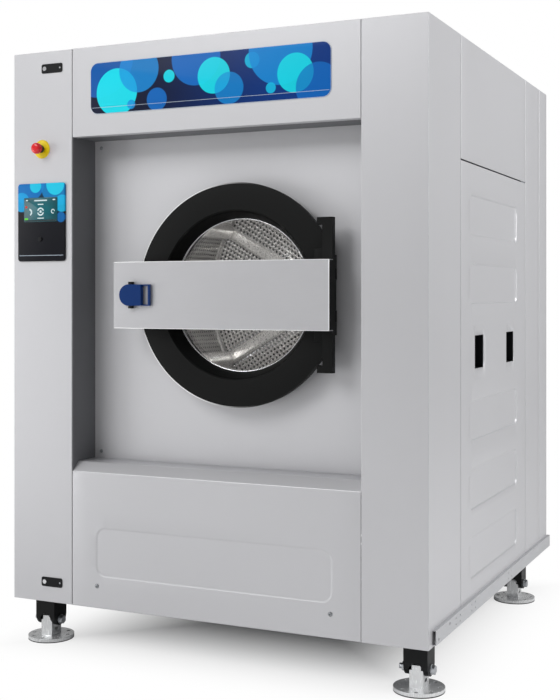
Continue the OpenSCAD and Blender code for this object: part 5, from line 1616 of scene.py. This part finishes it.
@dataclass
class Drum:
    """Perforated drum with its ends, lifters and seal."""

    pitch_mm: float = 15.2
    hole_mm: float = 4.8
    band_half_mm: float = 21.0
    sheet_mm: float = 2.0
    lifter_half_mm: float = 35.0
    lifter_count: int = 6
    first_lifter_deg: float = 30.0
    hub_mm: float = 110.0
    wall_mm: float = 3.0
    hoop_mm: float = 12.0
    back_rim_mm: float = 10.0
    mouth_mm: float = 265.0
    steps: int = 144
    seal_mm: tuple[float, float, float] = (252.0, 262.0, 276.0)

    def __post_init__(self) -> None:
        """Reads the drum's planes from the frame."""
        low, high = span("drum_shell")
        self.x = float(low[0] + high[0]) / 2
        self.z = float(low[2] + high[2]) / 2
        self.y0, self.y1 = float(low[1]), float(high[1])
        self.radius = float(high[0] - low[0]) / 2 - self.wall_mm * MM

    def lifter_angle(self, k: int) -> float:
        """Returns the angle of one lifter, and of the band of the back in line with it."""
        return math.radians(self.first_lifter_deg) + k * 2 * math.pi / self.lifter_count

    def hoop_section(self, y0: float, y1: float) -> np.ndarray:
        """Returns radius and y of the corners of a plain hoop round the drum."""
        r, w = self.radius, self.wall_mm * MM
        return np.array([[r, y0], [r + w, y0], [r + w, y1], [r, y1]])

    def shell(self) -> None:
        """Builds six perforated sectors between the lifters: u runs round the drum and v along it,
        and the place is the angle u / radius on the cylinder."""
        step = 2 * math.pi / self.lifter_count
        skip = self.lifter_half_mm * MM / self.radius
        arc = (step - 2 * skip) * self.radius
        nu = round(arc / (self.pitch_mm * MM))
        length = self.y1 - self.y0 - 2 * self.hoop_mm * MM
        nv = round(length / (self.pitch_mm * MM))
        for k in range(self.lifter_count):
            start = math.radians(self.first_lifter_deg) + k * step + skip

            def surface(u: np.ndarray, v: np.ndarray, start: float = start) -> np.ndarray:
                """Returns places on the drum's inside.

                Args:
                    u: Distances round it.
                    v: Distances along it.
                    start: The sector's first angle.

                Returns:
                    x + r cos a, y and z + r sin a, stacked last.
                """
                a = start + u / self.radius
                y = self.y0 + self.hoop_mm * MM + v
                x, z = self.x + self.radius * np.cos(a), self.z + self.radius * np.sin(a)
                return np.stack([x, y, z], axis=-1)

            shape = perforated((nu, nv), (arc / nu, length / nv), self.hole_mm * MM, surface)
            sheet_object(
                f"drum_sheet_{k + 1}", shape, DRUM_STEEL, "drum",
                self.sheet_mm * MM, 1.0,
            )
        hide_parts("drum_shell")

    def hoops(self) -> None:
        """Builds the plain hoops at both ends of the sheet and the strips under the lifters."""
        near, far = self.y0 + self.hoop_mm * MM, self.y1 - self.hoop_mm * MM
        parts = [
            turned(self.hoop_section(y0, y1), self.x, self.z, self.steps, ring=True)
            for y0, y1 in ((self.y0, near), (far, self.y1))
        ]
        skip = self.lifter_half_mm * MM / self.radius
        profile = self.hoop_section(near, far)
        for k in range(self.lifter_count):
            middle = self.lifter_angle(k)
            turns = np.linspace(middle - skip, middle + skip, 7)
            faces = grid_faces(len(turns), len(profile), close_cols=True)
            faces += end_caps(len(turns), len(profile))
            parts.append((lathe_points(profile, self.x, self.z, turns), faces))
        make_object("drum_hoops", join_parts(parts), DRUM_STEEL, "drum")

    def lifters(self) -> None:
        """Builds the lifters: a folded section with round shoulders, lower towards both ends."""
        r = self.radius / MM
        w = self.lifter_half_mm
        foot, shoulder, crown = r - 0.5, r - 6, r - 40
        section = rounded(
            np.array([
                [-w, foot], [-w, shoulder], [-w / 2, crown], [w / 2, crown], [w, shoulder], [w, foot],
            ]),
            np.array([0, 4, 9, 9, 4, 0]), 6,
        )
        along = np.concatenate([
            self.y0 + np.array([5, 14, 30]) * MM, self.y1 - np.array([40, 20, self.hoop_mm]) * MM,
        ])
        rise = np.array([0.35, 0.8, 1.0, 1.0, 0.9, 0.6])
        parts = []
        for k in range(self.lifter_count):
            a = self.lifter_angle(k)
            drop = (r - 0.5 - section[:, 1])[None, :] * rise[:, None]
            radial = (r - 0.5 - drop) * MM
            across = np.broadcast_to(section[:, 0] * MM, radial.shape)
            x = self.x + radial * math.cos(a) - across * math.sin(a)
            z = self.z + radial * math.sin(a) + across * math.cos(a)
            y = np.broadcast_to(along[:, None], radial.shape)
            faces = grid_faces(len(along), len(section), close_cols=True)
            faces += end_caps(len(along), len(section))
            parts.append((np.stack([x, y, z], axis=-1), faces))
        shape = join_parts(parts)
        make_object("drum_lifter_set", shape, BAND_STEEL, "drum", ("drum_lifters",))

    def back_row(self, low: float, high: float, middle: float) -> Shape:
        """Builds one row of cells across one sector of the back.

        Args:
            low: The row's inner radius.
            high: Its outer radius.
            middle: The sector's middle angle.

        Returns:
            Points and faces of the row.
        """
        step = 2 * math.pi / self.lifter_count
        half, half_out = (
            step / 2 - math.asin(min(self.band_half_mm * MM / r, 0.99)) for r in (low, high)
        )
        nu = max(1, round(2 * half * low / (self.pitch_mm * MM)))
        cell = 2 * half * (low + high) / 2 / nu
        full = cell * nu

        def surface(u: np.ndarray, v: np.ndarray) -> np.ndarray:
            """Returns places on the flat back.

            Args:
                u: Distances across the row, whose share of it is a share of the sector's angle.
                v: Distances outwards from the row's inner radius.

            Returns:
                x + r cos a, y and z + r sin a, stacked last.
            """
            wide = half + (half_out - half) * (v / (high - low))
            a = middle + (u / full - 0.5) * 2 * wide
            r = low + v
            flat = np.full(np.shape(a), self.y1)
            return np.stack([self.x + r * np.cos(a), flat, self.z + r * np.sin(a)], axis=-1)

        return perforated((nu, 1), (cell, high - low), self.hole_mm * MM, surface)

    def back(self) -> None:
        """Builds the perforated back in six sectors of rows, between the plain bands and round the hub."""
        step = 2 * math.pi / self.lifter_count
        inner, outer = self.hub_mm * MM, self.radius - self.back_rim_mm * MM
        rows = np.linspace(inner, outer, round((outer - inner) / (self.pitch_mm * MM)) + 1)
        middles = [math.radians(self.first_lifter_deg) + (k + 0.5) * step for k in range(self.lifter_count)]
        parts = [
            self.back_row(low, high, middle) for middle in middles for low, high in zip(rows[:-1], rows[1:])
        ]
        sheet_object(
            "drum_back_sheet", join_parts(parts), DRUM_STEEL, "drum", self.sheet_mm * MM, 1.0
        )

    def back_rim(self) -> None:
        """Builds the plain rim round the back and its hub."""
        y, r, w = self.y1, self.radius, self.wall_mm * MM
        inner = r - self.back_rim_mm * MM
        rim = np.array([[inner, y], [inner, y + w], [r + w, y + w], [r + w, y]])
        hub_r = (self.hub_mm + 3) * MM
        hub = rounded(
            np.array([
                [0, y - 10 * MM], [80 * MM, y - 10 * MM], [hub_r, y - 1 * MM], [hub_r, y + w], [0, y + w],
            ]),
            np.array([0, 8, 2, 0, 0]) * MM, 6,
        )
        shape = join_parts([
            turned(rim, self.x, self.z, self.steps, ring=True), turned(hub, self.x, self.z, 96),
        ])
        make_object("drum_back_rim", shape, DRUM_STEEL, "drum")

    def end_frame(self) -> None:
        """Builds the smooth radial bands of the back, with round edges, and the front end with its lip."""
        y, r, w = self.y1, self.radius, self.wall_mm * MM
        parts = []
        half = (self.band_half_mm + 1) * MM
        section = rounded(
            np.array([
                [-half, y + w], [-half, y - w], [-half + 8 * MM, y - 8 * MM], [half - 8 * MM, y - 8 * MM],
                [half, y - w], [half, y + w],
            ]),
            np.array([0, 2, 5, 5, 2, 0]) * MM, 5,
        )
        for k in range(self.lifter_count):
            a = self.lifter_angle(k)
            radial = np.array([60 * MM, r - 2 * MM])[:, None]
            across = section[:, 0][None, :]
            x = self.x + radial * math.cos(a) - across * math.sin(a)
            z = self.z + radial * math.sin(a) + across * math.cos(a)
            ys = np.broadcast_to(section[:, 1][None, :], x.shape)
            faces = grid_faces(2, len(section), close_cols=True) + end_caps(2, len(section))
            parts.append((np.stack([x, ys, z], axis=-1), faces))
        mouth = self.mouth_mm * MM
        f = self.y0
        front = rounded(
            np.array([
                [mouth, f], [mouth, f - 11 * MM], [mouth + 3 * MM, f - 11 * MM], [mouth + 6 * MM, f - w],
                [r + w, f - w], [r + w, f],
            ]),
            np.array([0.5, 1.4, 1.4, 4, 1, 0]) * MM, 5,
        )
        parts.append(turned(front, self.x, self.z, self.steps, ring=True))
        make_object("drum_end_frame", join_parts(parts), BAND_STEEL, "drum", ("drum_ends",))

    def seal(self) -> None:
        """Builds the door seal: bellows turned about the axis, from the cabinet to the tub."""
        low, high = span("door_gasket")
        y0, y1 = float(low[1]), float(high[1])
        t = np.linspace(0, 1, 41)
        wave = (5 + 3.5 * np.sin(2 * math.pi * 2 * t - math.pi / 2)) * MM
        y = y0 + 2 * MM + (y1 - y0 - 4 * MM) * t
        inner, lip, outer = (r * MM for r in self.seal_mm)
        inside = np.stack([inner + wave - 1 * MM, y], axis=1)
        outside = np.stack([inner + wave + 2.5 * MM, y], axis=1)
        ends = np.array([[outer, y0 + 2 * MM], [outer, y0], [inner, y0]])
        back = np.array([[lip, y1], [outer, y1], [outer, y1 - 3 * MM]])
        profile = np.concatenate([inside, back, outside[::-1], ends])
        shape = turned(profile, self.x, self.z, self.steps, ring=True)
        piece = make_object("door_seal", shape, SEAL_RUBBER, "", ("door_gasket",))
        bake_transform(piece)

    def build(self) -> None:
        """Builds the drum."""
        self.shell()
        self.hoops()
        self.lifters()
        self.back()
        self.back_rim()
        self.end_frame()
        self.seal()


def block(low: tuple, high: tuple, corner_mm: float = 1.5, edge_mm: float = 1.0) -> Shape:
    """Returns a moulded block that faces -y, from its lowest to its highest corner in mm."""
    outline = box_outline(low[0] * MM, low[2] * MM, high[0] * MM, high[2] * MM, corner_mm * MM, 3)
    return plate_points(outline, low[1] * MM, high[1] * MM, edge_mm * MM, 3)


@dataclass
class ElectricalBay:
    """Units behind the control door: a finned drive, a controller, contactors and a terminal row."""

    x_mm: tuple[float, float] = (-636.0, -490.0)
    back_mm: float = -620.0
    fins: int = 15
    plugs: int = 9
    contactors: int = 3
    terminals: int = 16

    def build(self) -> None:
        """Builds the units in their CAD boxes, from the drive at the foot to the terminals at the top."""
        a, b = self.x_mm
        back = self.back_mm
        cases = [
            block((a, back - 62, 700), (b, back, 1000), 4, 2),
            block((a, back - 80, 895), (b, back - 60, 1000), 6, 3),
            block((a, back - 80, 700), (b, back - 60, 716), 3, 2),
            block((a, back - 48, 1100), (b, back, 1360), 4, 2),
            block((a + 14, back - 60, 1130), (b - 14, back - 46, 1330), 6, 3),
        ]
        pitch = (b - a - 8) / self.fins
        cases += [
            block((a + 4 + i * pitch, back - 78, 716), (a + 6.4 + i * pitch, back - 60, 895), 0.4, 0.3)
            for i in range(self.fins)
        ]
        wide = (b - a) / self.contactors
        for i in range(self.contactors):
            x = a + i * wide
            cases.append(block((x + 1, back - 46, 1420), (x + wide - 1, back, 1530), 3, 2))
            cases.append(block((x + 6, back - 70, 1446), (x + wide - 6, back - 44, 1504), 3, 2))
        shape = join_parts(cases)
        make_object("unit_cases", shape, UNIT_GREY, "cabinet", ("electrical_units",))
        step = (b - a - 20) / self.plugs
        pale = [
            block((a + 10 + i * step, back - 60, z), (a + 8 + (i + 1) * step, back - 46, z + 16), 1, 0.8)
            for i in range(self.plugs) for z in (1108, 1336)
        ]
        slim = (b - a) / self.terminals
        pale += [
            block(
                (a + i * slim + 0.4, back - 50 + 6 * (i % 4 == 3), 1562),
                (a + (i + 1) * slim - 0.4, back - 8, 1618), 1, 0.8,
            )
            for i in range(self.terminals)
        ]
        make_object("unit_terminals", join_parts(pale), TERMINAL_GREY, "cabinet")
        shape = block((a, back - 8, 1572), (b, back, 1607), 0.5, 0.5)
        make_object("terminal_rail", shape, ZINC, "cabinet")


@dataclass
class Mountings:
    """Coil springs under the tub and the bellows of the drain."""

    spring_x_mm: tuple[float, float] = (-308.0, 452.0)
    spring_y_mm: tuple[float, float] = (-450.0, 60.0)
    coil_mm: float = 61.5
    wire_mm: float = 8.0
    turns: float = 5.5
    bellows: int = 5
    hose_wall_mm: float = 3.5
    hose_steps: int = 64

    def coil(self, x: float, y: float, low: float, high: float) -> Shape:
        """Builds one spring.

        Args:
            x: Its axis.
            y: Its axis.
            low: Its seat.
            high: Its top.

        Returns:
            Points and faces: a round wire about a helix whose height runs as
            u + 0.12 sin 2 pi u, so that its ends lie closed, u being the share of its turns.
        """
        n, m = int(self.turns * 36), 12
        u = np.linspace(0, 1, n)
        a = u * self.turns * 2 * math.pi
        w = self.wire_mm * MM
        rise = u - 0.12 * np.sin(2 * math.pi * u)
        z = low + w + (high - low - 2 * w) * rise
        t = full_turn(m)
        radial = self.coil_mm * MM + w * np.cos(t)[None, :]
        points = np.stack([
            x + radial * np.cos(a)[:, None], y + radial * np.sin(a)[:, None],
            z[:, None] + w * np.sin(t)[None, :],
        ], axis=-1)
        return points, grid_faces(n, m, close_cols=True) + end_caps(n, m)

    def springs(self) -> None:
        """Builds the four springs, which stretch between the base and the cradle."""
        low, high = span("suspension_springs")
        parts = [
            self.coil(x * MM, y * MM, low[2], high[2]) for x in self.spring_x_mm for y in self.spring_y_mm
        ]
        piece = make_object(
            "suspension_coils", join_parts(parts), SPRING_STEEL, "", ("suspension_springs",)
        )
        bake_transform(piece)

    def hose(self) -> None:
        """Builds the drain bellows: radius 40.5 - 2.5 cos of its turns over the height, and a wall."""
        low, high = span("drain_hose")
        x, y = (low[0] + high[0]) / 2, (low[1] + high[1]) / 2
        t = np.linspace(0, 1, self.bellows * 12 + 1)
        outer = (40.5 - 2.5 * np.cos(2 * math.pi * self.bellows * t)) * MM
        z = low[2] + (high[2] - low[2]) * t
        inner = np.stack([outer - self.hose_wall_mm * MM, z], axis=1)
        profile = np.concatenate([np.stack([outer, z], axis=1), inner[::-1]])
        steps, count = self.hose_steps, len(profile)
        a = full_turn(steps)[:, None]
        r, level = profile[:, 0][None, :], np.broadcast_to(profile[:, 1][None, :], (steps, count))
        points = np.stack([x + r * np.cos(a), y + r * np.sin(a), level], axis=-1)
        faces = grid_faces(steps, count, close_rows=True, close_cols=True)
        piece = make_object("drain_bellows", (points, faces), RUBBER, "", ("drain_hose",))
        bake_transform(piece)

    def build(self) -> None:
        """Builds the springs and the bellows."""
        self.springs()
        self.hose()


@dataclass
class Inlets:
    """Water inlets at the back with a cut thread and an open bore."""

    x_mm: tuple[float, ...] = (-400.0, -300.0, -200.0)
    z_mm: float = 1780.0
    radius_mm: float = 16.6
    bore_mm: float = 11.0
    pitch_mm: float = 2.31
    thread_deep_mm: float = 1.3

    def thread_profile(self, start: float, end: float) -> np.ndarray:
        """Returns the outline of a threaded stub.

        Args:
            start: The y of its foot.
            end: The y of its open end.

        Returns:
            (n, 2) radius and y: a plain neck, ridges over the thread, a chamfer and the bore.
        """
        r, d = self.radius_mm * MM, self.thread_deep_mm * MM
        ridges = np.arange(start + 8 * MM, end - 3 * MM, self.pitch_mm * MM / 2)
        radii = np.where(np.arange(len(ridges)) % 2, r, r - d)
        head = np.array([[r, start - 1 * MM], [r, start + 5 * MM], [r - d, start + 6.5 * MM]])
        tail = np.array([
            [r - d, end], [self.bore_mm * MM, end], [self.bore_mm * MM, end - 30 * MM], [0, end - 30 * MM],
        ])
        return np.concatenate([head, np.stack([radii, ridges], axis=1), tail])

    def build(self) -> None:
        """Replaces the node by a copy without its plain stubs, and adds the threaded ones."""
        start = float(span("rear_panels")[1][1])
        end = float(span("water_inlet_valves")[1][1])
        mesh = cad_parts["water_inlet_valves"].data.copy()
        mesh.materials.clear()
        work = bmesh.new()
        work.from_mesh(mesh)
        bmesh.ops.remove_doubles(work, verts=work.verts, dist=CAD_WELD)
        stubs = [f for f in work.faces if f.calc_center_median().y > start + 0.5 * MM]
        bmesh.ops.delete(work, geom=stubs, context="FACES")
        work.to_mesh(mesh)
        work.free()
        finish_object(mesh, "inlet_manifold", BRASS, "cabinet", ("water_inlet_valves",))
        profile = self.thread_profile(start, end)
        shape = join_parts([turned(profile, x * MM, self.z_mm * MM, 48) for x in self.x_mm])
        make_object("inlet_threads", shape, BRASS, "cabinet", smooth_deg=20)


@dataclass
class Inside:
    """Finishes of the parts behind the covers."""

    soft: Softening = Softening(edge_mm=1.5)

    def build(self) -> None:
        """Gives the larger parts worn edges and the others their finish."""
        worn = {
            "tub_cradle": (FRAME_PAINT, "suspension", "cradle_paint"),
            "motor_body": (MOTOR_BLUE, "suspension", "motor_blue"),
            "bearing_housing": (CAST_GREY, "suspension", "cast_grey"),
            "drum_pulley": (PULLEY_IRON, "drum", "pulley_iron"),
        }
        for node, (finish, body, slot) in worn.items():
            dressed_copy(node, finish, body, self.soft)
        plain = {
            # The tub's steel is painted dark as the shade seen through the drum's holes
            "base_frame": FRAME_PAINT, "tub_shell": TUB_STEEL, "tub_end_plates": TUB_STEEL,
            "drum_bearings": GROUND_STEEL, "damper_rods": GROUND_STEEL, "damper_cylinders": BLACK_STEEL,
            "drive_belts": RUBBER, "drum_shaft": GROUND_STEEL, "motor_pulley": PULLEY_IRON,
            "drain_valve_body": DRAIN_GREY, "drain_valve_disc": GROUND_STEEL, "cable_gland": BLACK_PLASTIC,
        }
        for node, finish in plain.items():
            dress_node(node, finish)


def main() -> None:
    """Builds everything in order and reports it."""
    logging.basicConfig(level=logging.INFO, format="%(name)s: %(message)s")
    parts = (
        Stage(), Covers(), SidePanels(), LowerFront(), HeaderPrint(), Feet(), LoadingDoor(),
        ControlColumn(), Drum(), ElectricalBay(), Mountings(), Inlets(), Inside(),
    )
    for part in parts:
        LOG.info("building %s", type(part).__name__)
        part.build()
    bpy.context.view_layer.update()


if __name__ == "__main__":
    main()
